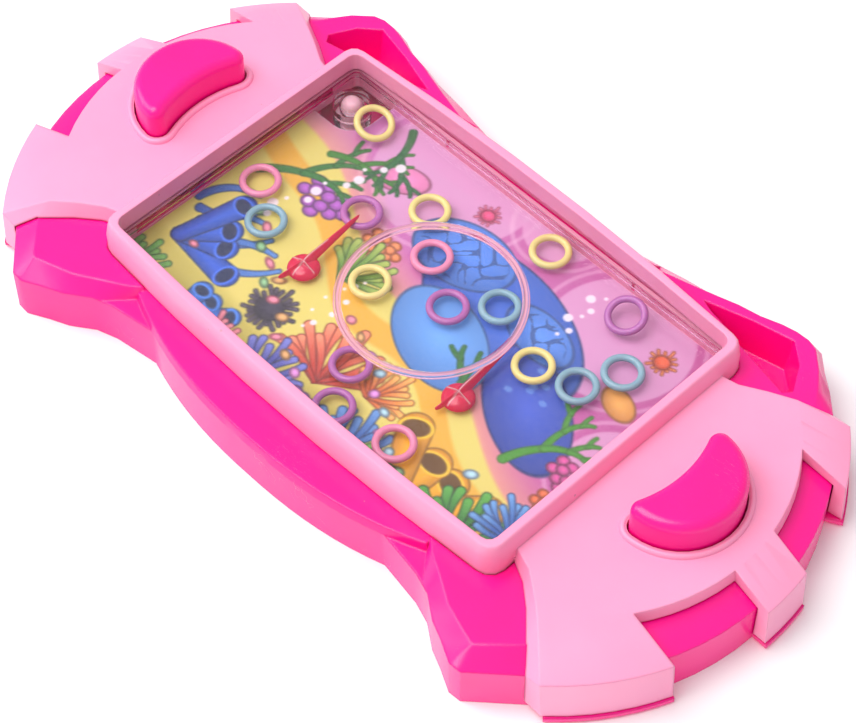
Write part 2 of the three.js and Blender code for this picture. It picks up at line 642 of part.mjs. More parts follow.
// Hose from the pump seat to the elbow under the tank tray.
function hose() {
  const y = BUTTON_CENTRE[1];
  const seatEnd = PUMP_X - SEAT_RADIUS - GAP;
  const path = new THREE.CatmullRomCurve3([
    [seatEnd, y], [seatEnd - 3.6, y], [seatEnd - 9, y - 0.8], [JET_X + 3.6, y - 6], [JET_X + 0.6, y - 13],
    [JET_X, y - 21], [JET_X, JET_Y + JET_RADIUS + GAP + 3], [JET_X, JET_Y + JET_RADIUS + 0.8],
  ].map(([px, py]) => new THREE.Vector3(px, py, HOSE_Z)));
  const ring = new THREE.Shape().absarc(0, 0, HOSE_RADIUS, 0, 2 * Math.PI, false);
  ring.holes.push(new THREE.Path().absarc(0, 0, HOSE_BORE, 0, 2 * Math.PI, true));
  return new THREE.ExtrudeGeometry(ring, { steps: 16, curveSegments: 5, extrudePath: path });
}

// Self-tapping screw with its head at the bottom.
function screw(at, headBottom, length) {
  return join(
    disc(at, SCREW_HEAD_RADIUS, headBottom, headBottom + SCREW_HEAD, 12),
    disc(at, SCREW_RADIUS, headBottom + 0.3, headBottom + length, 8),
  );
}

// Tapered bar between two points: each end has a half width, a bottom and a top.
function bar(from, to, start, end) {
  const run = Math.hypot(to[0] - from[0], to[1] - from[1]);
  const side = [-(to[1] - from[1]) / run, (to[0] - from[0]) / run];
  return skin([[from, start], [to, end]].map(([p, [half, low, high]]) => [
    [p[0] - side[0] * half, p[1] - side[1] * half, low],
    [p[0] + side[0] * half, p[1] + side[1] * half, low],
    [p[0] + side[0] * half * 0.7, p[1] + side[1] * half * 0.7, high],
    [p[0] - side[0] * half * 0.7, p[1] - side[1] * half * 0.7, high],
  ]));
}

// Ring pin: dome, keel from the tail over the dome into the rising spike, and cross ribs.
function pin({ dome, tip, tail }) {
  const [foot, crown] = [PIN_FOOT, PIN_CROWN];
  const height = crown - PIN_RIB_RISE - foot;
  const profile = [[0, 0], [1, 0], [0.96, 0.3], [0.84, 0.58], [0.62, 0.81], [0.33, 0.95], [0, 1]];
  const points = profile.map(([r, h]) => new THREE.Vector2(r * PIN_DOME_RADIUS, h * height));
  const bowl = new THREE.LatheGeometry(points, 18).rotateX(Math.PI / 2).translate(dome[0], dome[1], foot);
  const run = Math.hypot(tip[0] - dome[0], tip[1] - dome[1]);
  const side = [(tip[1] - dome[1]) / run, -(tip[0] - dome[0]) / run];
  const ribEnd = (sign) => [
    dome[0] + sign * side[0] * PIN_DOME_RADIUS * 0.92, dome[1] + sign * side[1] * PIN_DOME_RADIUS * 0.92,
  ];
  const rib = [PIN_RIB_HALF, foot + 0.2, crown];
  return join(
    bowl,
    bar(tail, dome, [PIN_RIB_HALF, foot, foot + 0.9], rib),
    bar(dome, tip, [PIN_RIB_HALF * 2, foot + 0.6, crown], [PIN_RIB_HALF * 0.8, foot + 2.0, foot + 2.95]),
    bar(dome, ribEnd(1), rib, [PIN_RIB_HALF, foot + 0.2, foot + 1.0]),
    bar(dome, ribEnd(-1), rib, [PIN_RIB_HALF, foot + 0.2, foot + 1.0]),
  );
}

function looseRing({ at, toward }) {
  const room = TANK_DEPTH - GAP - 2 * RING_SECTION - LEAN_GAP;
  const tilt = toward === undefined ? 0 : Math.asin(room / (2 * RING_MEAN_RADIUS));
  const rise = FLOOR_Z + GAP + RING_SECTION + RING_MEAN_RADIUS * Math.sin(tilt);
  const heading = degrees(toward ?? 0);
  const torus = new THREE.TorusGeometry(RING_MEAN_RADIUS, RING_SECTION, 6, 18);
  const axis = new THREE.Vector3(Math.sin(heading), -Math.cos(heading), 0);
  torus.applyMatrix4(new THREE.Matrix4().makeRotationAxis(axis, tilt));
  return torus.translate(at[0] * TANK_HALF_X, at[1] * TANK_HALF_Y, rise);
}

// Clear tray: floor, walls with an inside ledge, filler collar and jet elbows.
function tankTray() {
  const inside = cut(
    slab(trayOutline(0), TRAY_BOTTOM, TRAY_TOP),
    slab(interiorOutline(0), FLOOR_Z, TRAY_TOP + 1),
    slab(interiorOutline(LEDGE_STEP), TRAY_TOP - LEDGE_DROP, TRAY_TOP + 1),
  );
  const elbow = [-1, 1].flatMap((side) => [
    disc([side * JET_X, JET_Y], JET_RADIUS, HOSE_Z - JET_RADIUS, FLOOR_Z - 0.3, 12),
    rodY(JET_Y, JET_Y + JET_RADIUS + STUB_LENGTH, side * JET_X, HOSE_Z, JET_RADIUS - 0.02),
  ]);
  const bores = [-1, 1].flatMap((side) => [
    disc([side * JET_X, JET_Y], JET_BORE, HOSE_Z - JET_BORE * 0.6, FLOOR_Z + 1, 10),
    rodY(JET_Y, JET_Y + JET_RADIUS + STUB_LENGTH + 1, side * JET_X, HOSE_Z, JET_BORE * 0.9),
  ]);
  return cut(
    join(inside, disc(PLUG_CENTRE, COLLAR_RADIUS, COLLAR_FOOT, FLOOR_Z + COLLAR_RISE, 24), ...elbow),
    disc(PLUG_CENTRE, PLUG_BORE, COLLAR_FOOT - 1, FLOOR_Z + COLLAR_RISE + 1, 20),
    ...bores,
  );
}

function tankSeal() {
  return cut(
    slab(trayOutline(0), SEAL_BOTTOM, SEAL_TOP),
    slab(interiorOutline(0), SEAL_BOTTOM - 1, SEAL_TOP + 1),
  );
}

// Window plate with a dished lens of even thickness.
function tankWindow() {
  const bend = (LENS_RADIUS ** 2 + LENS_SAG ** 2) / (2 * LENS_SAG);
  const dip = (r) => bend - LENS_SAG - Math.sqrt(bend ** 2 - r ** 2);
  const dish = (low, cap) => {
    const curve = [0, 0.3, 0.6, 0.82, 1].map((share) => share * LENS_RADIUS);
    const points = curve.map((r) => new THREE.Vector2(r, low + dip(r)));
    points.push(new THREE.Vector2(LENS_RADIUS, low + cap), new THREE.Vector2(0, low + cap));
    return new THREE.LatheGeometry(points, 36).rotateX(Math.PI / 2).translate(...LENS_CENTRE, 0);
  };
  return cut(
    join(slab(openingOutline(WINDOW_LAP), WINDOW_BOTTOM, WINDOW_TOP), dish(WINDOW_BOTTOM, WINDOW_THICK * 0.6)),
    dish(WINDOW_TOP, WINDOW_THICK),
  );
}

// Filler plug: round nose in the tank, flange and grip knob below the deck.
function fillerPlug() {
  const nose = FLOOR_Z + COLLAR_RISE - 0.6;
  const flangeTop = COLLAR_FOOT - GAP;
  const flangeBottom = flangeTop - PLUG_FLANGE;
  const profile = [
    [0, flangeBottom - 1.4], [1.9, flangeBottom - 1.4], [1.9, flangeBottom],
    [PLUG_FLANGE_RADIUS, flangeBottom], [PLUG_FLANGE_RADIUS, flangeTop], [PLUG_RADIUS, flangeTop],
    [PLUG_RADIUS, nose], [PLUG_RADIUS * 0.87, nose + PLUG_DOME * 0.5],
    [PLUG_RADIUS * 0.5, nose + PLUG_DOME * 0.87], [0, nose + PLUG_DOME],
  ].map(([r, z]) => new THREE.Vector2(r, z));
  return new THREE.LatheGeometry(profile, 18).rotateX(Math.PI / 2).translate(...PLUG_CENTRE, 0);
}

// Open corner round the filler collar: round toward the tank, straight out past the corner.
function fillerCorner(grow, low, high) {
  const clear = COLLAR_RADIUS + FILLER_ROOM + grow;
  const [x, y] = PLUG_CENTRE;
  return slab([
    [x - 2 * clear, y - clear], ...arc([x, y], clear, -Math.PI / 2, 0, 8),
    [x + clear, y + 2 * clear], [x - 2 * clear, y + 2 * clear],
  ], low, high);
}

function artCard() {
  const holes = [-1, 1].map((side) => disc([side * JET_X, JET_Y], JET_RADIUS + GAP, 0, 20, 12));
  return cut(
    slab(trayOutline(-GAP), CARD_BOTTOM, CARD_BOTTOM + CARD_THICK),
    fillerCorner(0, 0, 20),
    ...holes,
  );
}

// Plan points mirrored to both ends, for posts, bosses and screws.
const mirrored = (points) => points.flatMap(([x, y]) => [[x, y], [-x, y]]);
const POSTS = mirrored([POST_AT, [POST_AT[0], -POST_AT[1]]]);
const BOSSES = mirrored([FRONT_BOSS_AT, BACK_BOSS_AT]);

// Base shell: hollow lobed ring with the deck and well for the tank, scoops, posts and bosses.
function baseShell() {
  const well = trayOutline(GAP);
  const wellOuter = trayOutline(GAP + WELL_WALL);
  const skinBottom = WALL_TOP - WALL;
  const bayRadius = CREASE.radius - BAY_INSET;
  const bay = [
    ...arc(CREASE.centre, bayRadius, -Math.asin(BAY_HALF_Y / bayRadius), Math.asin(BAY_HALF_Y / bayRadius), 8),
    [TRAY_HALF_X + GAP + WELL_WALL, BAY_HALF_Y], [TRAY_HALF_X + GAP + WELL_WALL, -BAY_HALF_Y],
  ];
  const scoop = (grow) => skin([
    lift(offset(SCOOP_RIM, grow - SCOOP_TAPER), SCOOP_FLOOR - grow),
    lift(offset(SCOOP_RIM, grow), BACK_RIM_TOP + 0.01),
  ]);
  const fillerBay = common(
    slab(well, DECK_BOTTOM - 1, DECK_TOP + 1), fillerCorner(GAP, DECK_BOTTOM - 0.9, DECK_TOP + 0.9),
  );
  const outer = baseOuter(0);
  const shell = cut(
    outer,
    slab(baseOutline(-WALL), -1, DECK_BOTTOM),
    cut(slab(baseOutline(-WALL), DECK_BOTTOM - 0.5, skinBottom), slab(wellOuter, 0, 20)),
    slab(well, DECK_TOP, 30),
    ...bothEnds(slab(bay, DECK_BOTTOM - 0.2, 30)),
  );
  const posts = POSTS.map((at) => disc(at, POST_RADIUS, POST_FOOT, POST_TOP, 16));
  const bosses = BOSSES.map((at) => disc(at, BOSS_RADIUS, 2 * PLATE_THICK + GAP, skinBottom + 0.5, 14));
  const full = join(shell, ...posts, ...bosses, ...bothEnds(common(scoop(SCOOP_WALL), outer)));
  return cut(
    full,
    slab(frameOutline(FRAME_DRAFT + GAP), BULGE_TOP, 30),
    slab(well, DECK_TOP, 30),
    ...bothEnds(slab(offset(coverFoot(), GAP), LOBE_TOP, 30)),
    ...bothEnds(cut(scoop(0), slab(trayOutline(40), BACK_RIM_TOP + 5, 60))),
    ...POSTS.map((at) => disc(at, BOSS_RADIUS + GAP, POST_TOP, 30, 14)),
    ...POSTS.map((at) => disc(at, HOLE_RADIUS, 0, 30, 10)),
    ...BOSSES.map((at) => disc(at, HOLE_RADIUS, 0, skinBottom - 0.5, 10)),
    fillerBay,
    ...[-1, 1].map((side) => disc([side * JET_X, JET_Y], JET_RADIUS + GAP, DECK_BOTTOM - 1, DECK_TOP + 1, 12)),
  );
}

// Back plate inside the foot of the base shell, with screw cups and the filler opening.
function backPlate() {
  const cups = BOSSES.map((at) => disc(at, SCREW_HEAD_RADIUS + 1.3, 0.2, 2 * PLATE_THICK, 16));
  return cut(
    join(slab(baseOutline(-WALL - GAP), 0, PLATE_THICK), ...cups),
    ...BOSSES.map((at) => disc(at, SCREW_HEAD_RADIUS + GAP, -1, PLATE_THICK + 0.2, 14)),
    ...BOSSES.map((at) => disc(at, HOLE_RADIUS, -1, 5, 10)),
    disc(PLUG_CENTRE, PLUG_FLANGE_RADIUS + 1.1, -1, 5, 24),
  );
}

// One tab of an end cover, or its hollow when walls are taken off. Its outer end turns into the side.
function coverTab(tab, hollow) {
  const steps = 6;
  const side = hollow ? TAB_WALL : 0;
  const reach = (i) => {
    const far = i % steps === 0 ? COVER_WALL + 0.1 : 5;
    return hollow ? far : 2;
  };
  const tuck = (i) => (hollow || i % steps ? 0 : tab.tuck[i / steps]);
  const drop = hollow ? COVER_SKIN : 0;
  const span = ([low, high], share) => low + side + (high - low - 2 * side) * share;
  return skin(Array.from({ length: steps + 1 }, (_, i) => {
    const [y, rimY] = [span(tab.crease, i / steps), span(tab.rim, i / steps)];
    const x = creaseX(y);
    return [
      [x - reach(i), y + tuck(i), COVER_TOP - drop],
      [x - side * 0.6, y, COVER_TOP - drop],
      [rimX(rimY, TAB_RADIUS) - side, rimY, TAB_TOP - drop * 0.7],
      [rimX(rimY, TAB_RADIUS + TAB_FLARE) - side, rimY, TAB_FOOT - side],
      [x - reach(i), y + tuck(i), TAB_FOOT - side],
    ];
  }));
}

// Small sloping wedges that close the outer sides of the first and last tab.
function cheek(corner, low, foot, cheekPoint, inner) {
  const points = [
    [creaseX(corner), corner, COVER_TOP], [...foot, COVER_FOOT], [...cheekPoint, WALL_TOP + GAP],
    [rimX(low, TAB_RADIUS), low, TAB_TOP], [rimX(low, TAB_RADIUS + TAB_FLARE), low, TAB_FOOT],
    [...cheekPoint, TAB_FOOT], [...inner, TAB_FOOT], [...inner, COVER_FOOT],
  ];
  return new ConvexGeometry(points.map((p) => new THREE.Vector3(...p)));
}

function topCover() {
  const frame = skin([
    lift(frameOutline(FRAME_DRAFT), FRAME_FOOT),
    lift(frameOutline(FRAME_DRAFT), FRAME_TOP - FRAME_DRAFT_HEIGHT),
    lift(frameOutline(0.1), FRAME_TOP - 0.5),
    lift(frameOutline(-0.3), FRAME_TOP),
  ]);
  const end = join(
    skin([lift(coverFoot(), COVER_FOOT), lift(coverCrease(), COVER_TOP)]),
    ...TABS.map((tab) => coverTab(tab, false)),
    cheek(TABS[0].crease[0], TABS[0].rim[0], COVER_FRONT_FOOT.at(-1), FRONT_CHEEK, FRONT_CHEEK_INNER),
    cheek(TABS[2].crease[1], TABS[2].rim[1], COVER_BACK_FOOT[0], BACK_CHEEK, BACK_CHEEK_INNER),
  );
  const hollow = join(
    skin([
      lift(offset(coverCrease(), -COVER_WALL), COVER_FOOT - 2),
      lift(offset(coverCrease(), -COVER_WALL), COVER_TOP - COVER_SKIN),
    ]),
    ...TABS.map((tab) => coverTab(tab, true)),
  );
  const endShell = cut(end, hollow);
  const baseSpace = cut(
    baseOuter(GAP),
    slab(circle([0, 0], 200, 8), COVER_FOOT - 0.02, 60),
    slab(frameOutline(FRAME_DRAFT + 0.1), FRAME_FOOT - 0.02, 60),
  );
  const whole = cut(
    join(frame, ...bothEnds(endShell)),
    slab(openingOutline(0), 0, 40),
    slab(openingOutline(WINDOW_LAP + GAP), 0, REBATE_TOP),
    slab(trayOutline(GAP), 0, REBATE_TOP - 1),
    baseSpace,
  );
  const rings = bothEnds(skin([
    lift(kidney(BUTTON_GAP + LIP_WIDTH), COVER_TOP - 1),
    lift(kidney(BUTTON_GAP + LIP_WIDTH), COVER_TOP),
    lift(kidney(BUTTON_GAP + LIP_WIDTH - 0.5), COVER_TOP + LIP_RISE),
  ]));
  const bosses = POSTS.map((at) => disc(at, BOSS_RADIUS, POST_TOP + GAP, COVER_TOP - 1, 14));
  return cut(
    join(whole, ...rings, ...bosses),
    ...bothEnds(slab(kidney(BUTTON_GAP), 0, 40)),
    ...POSTS.map((at) => disc(at, HOLE_RADIUS, 0, COVER_TOP - COVER_SKIN - 0.6, 10)),
  );
}

const solid = (geometry) => toGeometry(toManifold(geometry));

finish('base_shell', baseShell(), 'hot', 0.32);
finish('back_plate', backPlate(), 'hot', 0.45);
finish('top_cover', topCover(), 'light', 0.36);
finish('tank_tray', tankTray(), 'clear', 0.06, 0, 0.25);
finish('tank_seal', tankSeal(), 'seal', 0.5);
finish('tank_window', tankWindow(), 'clear', 0.04, 0, 0.2);
finish('art_card', artCard(), 'card', 0.6);
finish('filler_plug', solid(fillerPlug()), 'plug', 0.5);
PINS.forEach((spec) => finish(spec.name, pin(spec), 'pin', 0.2, 0, 0.75));
RINGS.forEach((spec) => finish(spec.name, solid(looseRing(spec)), spec.colour, 0.45));

['right', 'left'].forEach((side, i) => {
  const pick = (geometry) => bothEnds(geometry)[i];
  finish(`button_${side}`, pick(buttonCap()), 'hot', 0.22);
  finish(`bellows_${side}`, pick(solid(bellows())), 'rubber', 0.7);
  finish(`pump_seat_${side}`, pick(pumpSeat()), 'seat', 0.4);
  finish(`jet_hose_${side}`, pick(solid(hose())), 'hose', 0.5);
});

POSTS.forEach((at, i) => {
  const length = COVER_TOP - COVER_SKIN - 1.2 - (POST_FOOT - GAP - SCREW_HEAD);
  finish(`cover_screw_${i + 1}`, screw(at, POST_FOOT - GAP - SCREW_HEAD, length), 'steel', 0.3, 1);
});
BOSSES.forEach((at, i) => {
  finish(`plate_screw_${i + 1}`, screw(at, GAP, WALL_TOP - WALL - 1.4), 'steel', 0.3, 1);
});

export default game;
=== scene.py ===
"""Looks of a hand-held water ring toss game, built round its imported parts.

Sizes in the classes are millimetres in the part's own frame: +X to the right-hand button, +Y up the
picture, +Z out of the window. Meshes are written in metres.
"""
import json
import logging
import math
from collections.abc import Sequence
from dataclasses import dataclass
from enum import Enum

import bmesh
import bpy
import numpy as np
from mathutils import Matrix, Vector

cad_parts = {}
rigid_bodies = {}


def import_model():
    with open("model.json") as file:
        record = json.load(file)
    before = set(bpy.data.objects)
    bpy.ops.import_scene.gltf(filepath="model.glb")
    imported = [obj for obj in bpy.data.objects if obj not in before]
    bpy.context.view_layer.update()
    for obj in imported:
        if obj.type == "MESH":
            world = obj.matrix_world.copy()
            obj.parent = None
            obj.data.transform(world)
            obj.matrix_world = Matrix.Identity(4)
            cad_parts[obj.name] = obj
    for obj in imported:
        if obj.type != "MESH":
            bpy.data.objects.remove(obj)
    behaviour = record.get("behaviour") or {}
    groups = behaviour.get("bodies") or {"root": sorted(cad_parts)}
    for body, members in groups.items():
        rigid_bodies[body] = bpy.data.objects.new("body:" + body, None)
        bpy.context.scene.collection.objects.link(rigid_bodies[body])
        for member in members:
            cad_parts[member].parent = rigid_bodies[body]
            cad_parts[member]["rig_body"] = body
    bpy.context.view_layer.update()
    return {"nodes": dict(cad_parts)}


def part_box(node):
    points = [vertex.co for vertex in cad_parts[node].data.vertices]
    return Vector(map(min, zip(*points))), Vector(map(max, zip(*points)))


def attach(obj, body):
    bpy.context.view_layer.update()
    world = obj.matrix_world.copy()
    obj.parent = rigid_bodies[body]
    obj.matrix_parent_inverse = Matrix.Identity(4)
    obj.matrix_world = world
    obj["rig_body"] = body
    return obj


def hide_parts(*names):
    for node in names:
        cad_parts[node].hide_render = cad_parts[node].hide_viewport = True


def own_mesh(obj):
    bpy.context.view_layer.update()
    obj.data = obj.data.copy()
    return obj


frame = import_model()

MM = 0.001
WELD = 2e-6
COPY_WELD = 3e-6
SLIVER = 1e-7
SPECK_CELLS = 330.0
GOLDEN_TURN = 2.39996
LOG = logging.getLogger("ring_toss")
Array = np.ndarray
Piece = bpy.types.Object
Material = bpy.types.Material
Tree = bpy.types.NodeTree
Node = bpy.types.Node
Socket = bpy.types.NodeSocket
Pair = tuple[float, float]
Triple = tuple[float, float, float]
Rgba = tuple[float, float, float, float]
Rgb = Sequence[float]


class Body(Enum):
    """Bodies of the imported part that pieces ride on, besides the buttons and the rings."""

    CASE = "case"
    PLUG = "filler_plug"


class Slot(Enum):
    """Material slots of the record."""

    HOT = "hot_pink_plastic"
    LIGHT = "light_pink_plastic"
    CLEAR = "clear_plastic"
    SEAL = "seal_rubber"
    CARD = "printed_card"
    PLUG = "plug_rubber"
    PIN = "pin_plastic"
    YELLOW = "ring_yellow"
    PINK = "ring_pink"
    PURPLE = "ring_purple"
    BLUE = "ring_blue"
    RUBBER = "bellows_rubber"
    SEAT = "seat_plastic"
    STEEL = "screw_steel"


def to_linear(shares: Array) -> Array:
    """Turns display shares of 0 to 1 into linear light."""
    return np.where(shares <= 0.04045, shares / 12.92, ((shares + 0.055) / 1.055) ** 2.4)


def linear(red: float, green: float, blue: float) -> Rgba:
    """Turns a display colour of 0 to 255 into the scene's linear colour.

    Args:
        red: Red as shown on a display.
        green: Green as shown on a display.
        blue: Blue as shown on a display.

    Returns:
        The linear colour with an alpha of 1.
    """
    return (*to_linear(np.array([red, green, blue], float) / 255).tolist(), 1.0)


# Shared shader effects.


class EffectGroup:
    """A shader node group that is built once and placed in many materials."""

    def __init__(self, name: str, inputs: dict[str, float], outputs: Sequence[str]) -> None:
        """Makes the empty group with its sockets.

        Args:
            name: Name of the group.
            inputs: Names and starting values of the float inputs.
            outputs: Names of the float outputs.
        """
        self.tree = bpy.data.node_groups.new(name, "ShaderNodeTree")
        for key, value in inputs.items():
            socket = self.tree.interface.new_socket(key, in_out="INPUT", socket_type="NodeSocketFloat")
            socket.default_value = value
        for key in outputs:
            self.tree.interface.new_socket(key, in_out="OUTPUT", socket_type="NodeSocketFloat")
        self.source = self.tree.nodes.new("NodeGroupInput")
        self.sink = self.tree.nodes.new("NodeGroupOutput")

    def node(self, kind: str, **settings: object) -> Node:
        """Adds a node and sets its options."""
        return add_node(self.tree, kind, **settings)

    def link(self, start: Socket, end: Socket) -> None:
        """Joins two sockets."""
        self.tree.links.new(start, end)


def add_node(tree: Tree, kind: str, **settings: object) -> Node:
    """Adds a node to a tree.

    Args:
        tree: The tree that gets the node.
        kind: Blender's name of the node type.
        settings: Options of the node by name; a name that is an input sets its default value.

    Returns:
        The new node.
    """
    made = tree.nodes.new(kind)
    for key, value in settings.items():
        if key in made.inputs:
            made.inputs[key].default_value = value
        else:
            setattr(made, key, value)
    return made


def noise_ramp(group: EffectGroup, scale: float, low: float, high: float, detail: float = 3.0,
               stretch: Triple = (1, 1, 1)) -> Socket:
    """Noise on object coordinates, spread from 0 to 1 between two values.

    Args:
        group: The group that gets the nodes.
        scale: Noise cells for each metre.
        low: Noise value that becomes 0.
        high: Noise value that becomes 1.
        detail: Octaves of the noise.
        stretch: Scale of the pattern along each axis.

    Returns:
        The socket with the spread value.
    """
    place = group.node("ShaderNodeTexCoord")
    turn = group.node("ShaderNodeMapping")
    turn.inputs["Scale"].default_value = stretch
    noise = group.node("ShaderNodeTexNoise", Scale=scale, Detail=detail)
    spread = group.node("ShaderNodeMapRange", interpolation_type="SMOOTHSTEP")
    spread.inputs["From Min"].default_value = low
    spread.inputs["From Max"].default_value = high
    group.link(place.outputs["Object"], turn.inputs["Vector"])
    group.link(turn.outputs[0], noise.inputs["Vector"])
    group.link(noise.outputs["Fac"], spread.inputs["Value"])
    return spread.outputs["Result"]


def times(group: EffectGroup, first: Socket, second: Socket) -> Socket:
    """Product of two sockets."""
    product = group.node("ShaderNodeMath", operation="MULTIPLY")
    group.link(first, product.inputs[0])
    group.link(second, product.inputs[1])
    return product.outputs[0]


def moulding_group() -> Tree:
    """Flow shading, orange peel and hairline scuffs of a moulded surface.

    Returns:
        The group: Shade is a slow light and dark drift, Peel a fine height, Scuff a mask of scratches.
    """
    group = EffectGroup("moulded_surface", {"Drift": 0.5, "Peel": 0.5, "Scuffs": 0.5},
                        ["Shade", "Peel", "Scuff"])
    drift = noise_ramp(group, 45, 0.3, 0.7)
    peel = noise_ramp(group, 1500, 0.2, 0.8, detail=2.0)
    line, edge = (noise_ramp(group, 260, low, high, detail=1.0, stretch=(1, 6, 1))
                  for low, high in ((0.50, 0.515), (0.515, 0.50)))
    patch = noise_ramp(group, 60, 0.55, 0.68)
    group.link(times(group, drift, group.source.outputs["Drift"]), group.sink.inputs["Shade"])
    group.link(times(group, peel, group.source.outputs["Peel"]), group.sink.inputs["Peel"])
    scuff = times(group, times(group, line, edge), patch)
    group.link(times(group, scuff, group.source.outputs["Scuffs"]), group.sink.inputs["Scuff"])
    return group.tree


def speck_group() -> Tree:
    """Small specks of dust and dirt.

    Returns:
        The group: Mask is 1 on a speck. Size is a speck's share of its cell, Fewness how many stay out.
    """
    group = EffectGroup("specks", {"Size": 0.1, "Fewness": 0.6}, ["Mask"])
    place = group.node("ShaderNodeTexCoord")
    cells = group.node("ShaderNodeTexVoronoi", Scale=SPECK_CELLS)
    group.link(place.outputs["Object"], cells.inputs["Vector"])
    near = group.node("ShaderNodeMath", operation="LESS_THAN")
    group.link(cells.outputs["Distance"], near.inputs[0])
    group.link(group.source.outputs["Size"], near.inputs[1])
    split = group.node("ShaderNodeSeparateColor")
    group.link(cells.outputs["Color"], split.inputs[0])
    chosen = group.node("ShaderNodeMath", operation="GREATER_THAN")
    group.link(split.outputs[0], chosen.inputs[0])
    group.link(group.source.outputs["Fewness"], chosen.inputs[1])
    group.link(times(group, near.outputs[0], chosen.outputs[0]), group.sink.inputs["Mask"])
    return group.tree


MOULDING = moulding_group()
SPECKS = speck_group()
PEEL_DEPTH = 0.04 * MM
SCRATCH_DEPTH = 0.05 * MM
LIGHT_DEPTH = 2 * MM
SCUFF_ROUGHNESS = 0.35
CLEAR_INDEX = 1.37
# Painted pink reflection on the window's rim: tint of the light through it, colour of its opaque layer and
# that layer's share.
RIM_REFLECTION_TINT = (0.78, 0.42, 0.52, 1)
RIM_REFLECTION_COLOUR = (0.74, 0.36, 0.46, 1)
RIM_REFLECTION_SHARE = 0.78
INK_GRAIN = 0.04
INK_SHINE = 0.2
PALE_GRAIN = (0.9, 0.86, 0.9, 1)


# Finishes.


@dataclass(frozen=True)
class MouldedPlastic:
    """Opaque moulded plastic or soft rubber.

    Attributes:
        name: Name of the material.
        colour: Linear main colour.
        shade: Linear colour of the slow darker drift.
        roughness: Plain roughness.
        edge: Radius in millimetres over which edges look rounded.
        fewness: Share of the speck cells that stay clean.
        metallic: 1 for metal.
        body_light: Weight of light that passes below the surface.
        see_through: Weight of light that passes straight through.
        painted_light: Name of a mesh attribute that is 1 where painted light, a paler tone of the colour,
            is laid on, or nothing.
    """

    name: str
    colour: Rgba
    shade: Rgba
    roughness: float = 0.35
    edge: float = 0.6
    fewness: float = 0.93
    metallic: float = 0.0
    body_light: float = 0.0
    see_through: float = 0.0
    painted_light: str = ""

    def build(self) -> Material:
        """Makes the material.

        Returns:
            The material, with its colour, roughness and height driven by the shared effects.
        """
        material, tree, shader = new_material(self.name)
        surface = add_node(tree, "ShaderNodeGroup", node_tree=MOULDING)
        specks = add_node(tree, "ShaderNodeGroup", node_tree=SPECKS, Fewness=self.fewness)
        tint = mix_colour(tree, surface.outputs["Shade"], self.colour, self.shade)
        worn = mix_colour(tree, surface.outputs["Scuff"], tint, self.toned(0.6, 0.4))
        shown = mix_colour(tree, specks.outputs["Mask"], worn, self.toned(0.55, 0.1))
        # Painted light: a paler tone of the main colour wherever the mesh attribute says so, for painted
        # highlights and lit walls.
        if self.painted_light:
            painted_light = add_node(tree, "ShaderNodeAttribute", attribute_name=self.painted_light)
            shown = mix_colour(tree, painted_light.outputs["Fac"], shown, self.toned(0.35, 0.6))
        tree.links.new(shown, shader.inputs["Base Color"])
        rough = add_node(tree, "ShaderNodeMath", operation="MULTIPLY_ADD")
        tree.links.new(surface.outputs["Scuff"], rough.inputs[0])
        rough.inputs[1].default_value = SCUFF_ROUGHNESS
        rough.inputs[2].default_value = self.roughness
        tree.links.new(rough.outputs[0], shader.inputs["Roughness"])
        bump = add_node(tree, "ShaderNodeBump", Strength=0.12, Distance=PEEL_DEPTH)
        tree.links.new(surface.outputs["Peel"], bump.inputs["Height"])
        if self.edge:
            soft = add_node(tree, "ShaderNodeBevel", samples=6, Radius=self.edge * MM)
            tree.links.new(soft.outputs["Normal"], bump.inputs["Normal"])
        tree.links.new(bump.outputs["Normal"], shader.inputs["Normal"])
        shader.inputs["Transmission Weight"].default_value = self.see_through
        shader.inputs["Metallic"].default_value = self.metallic
        shader.inputs["Subsurface Weight"].default_value = self.body_light
        shader.inputs["Subsurface Scale"].default_value = LIGHT_DEPTH
        return material

    def toned(self, share: float, white: float) -> Rgba:
        """A share of the main colour with some white added."""
        return tuple(share * c + white for c in self.colour[:3]) + (1.0,)


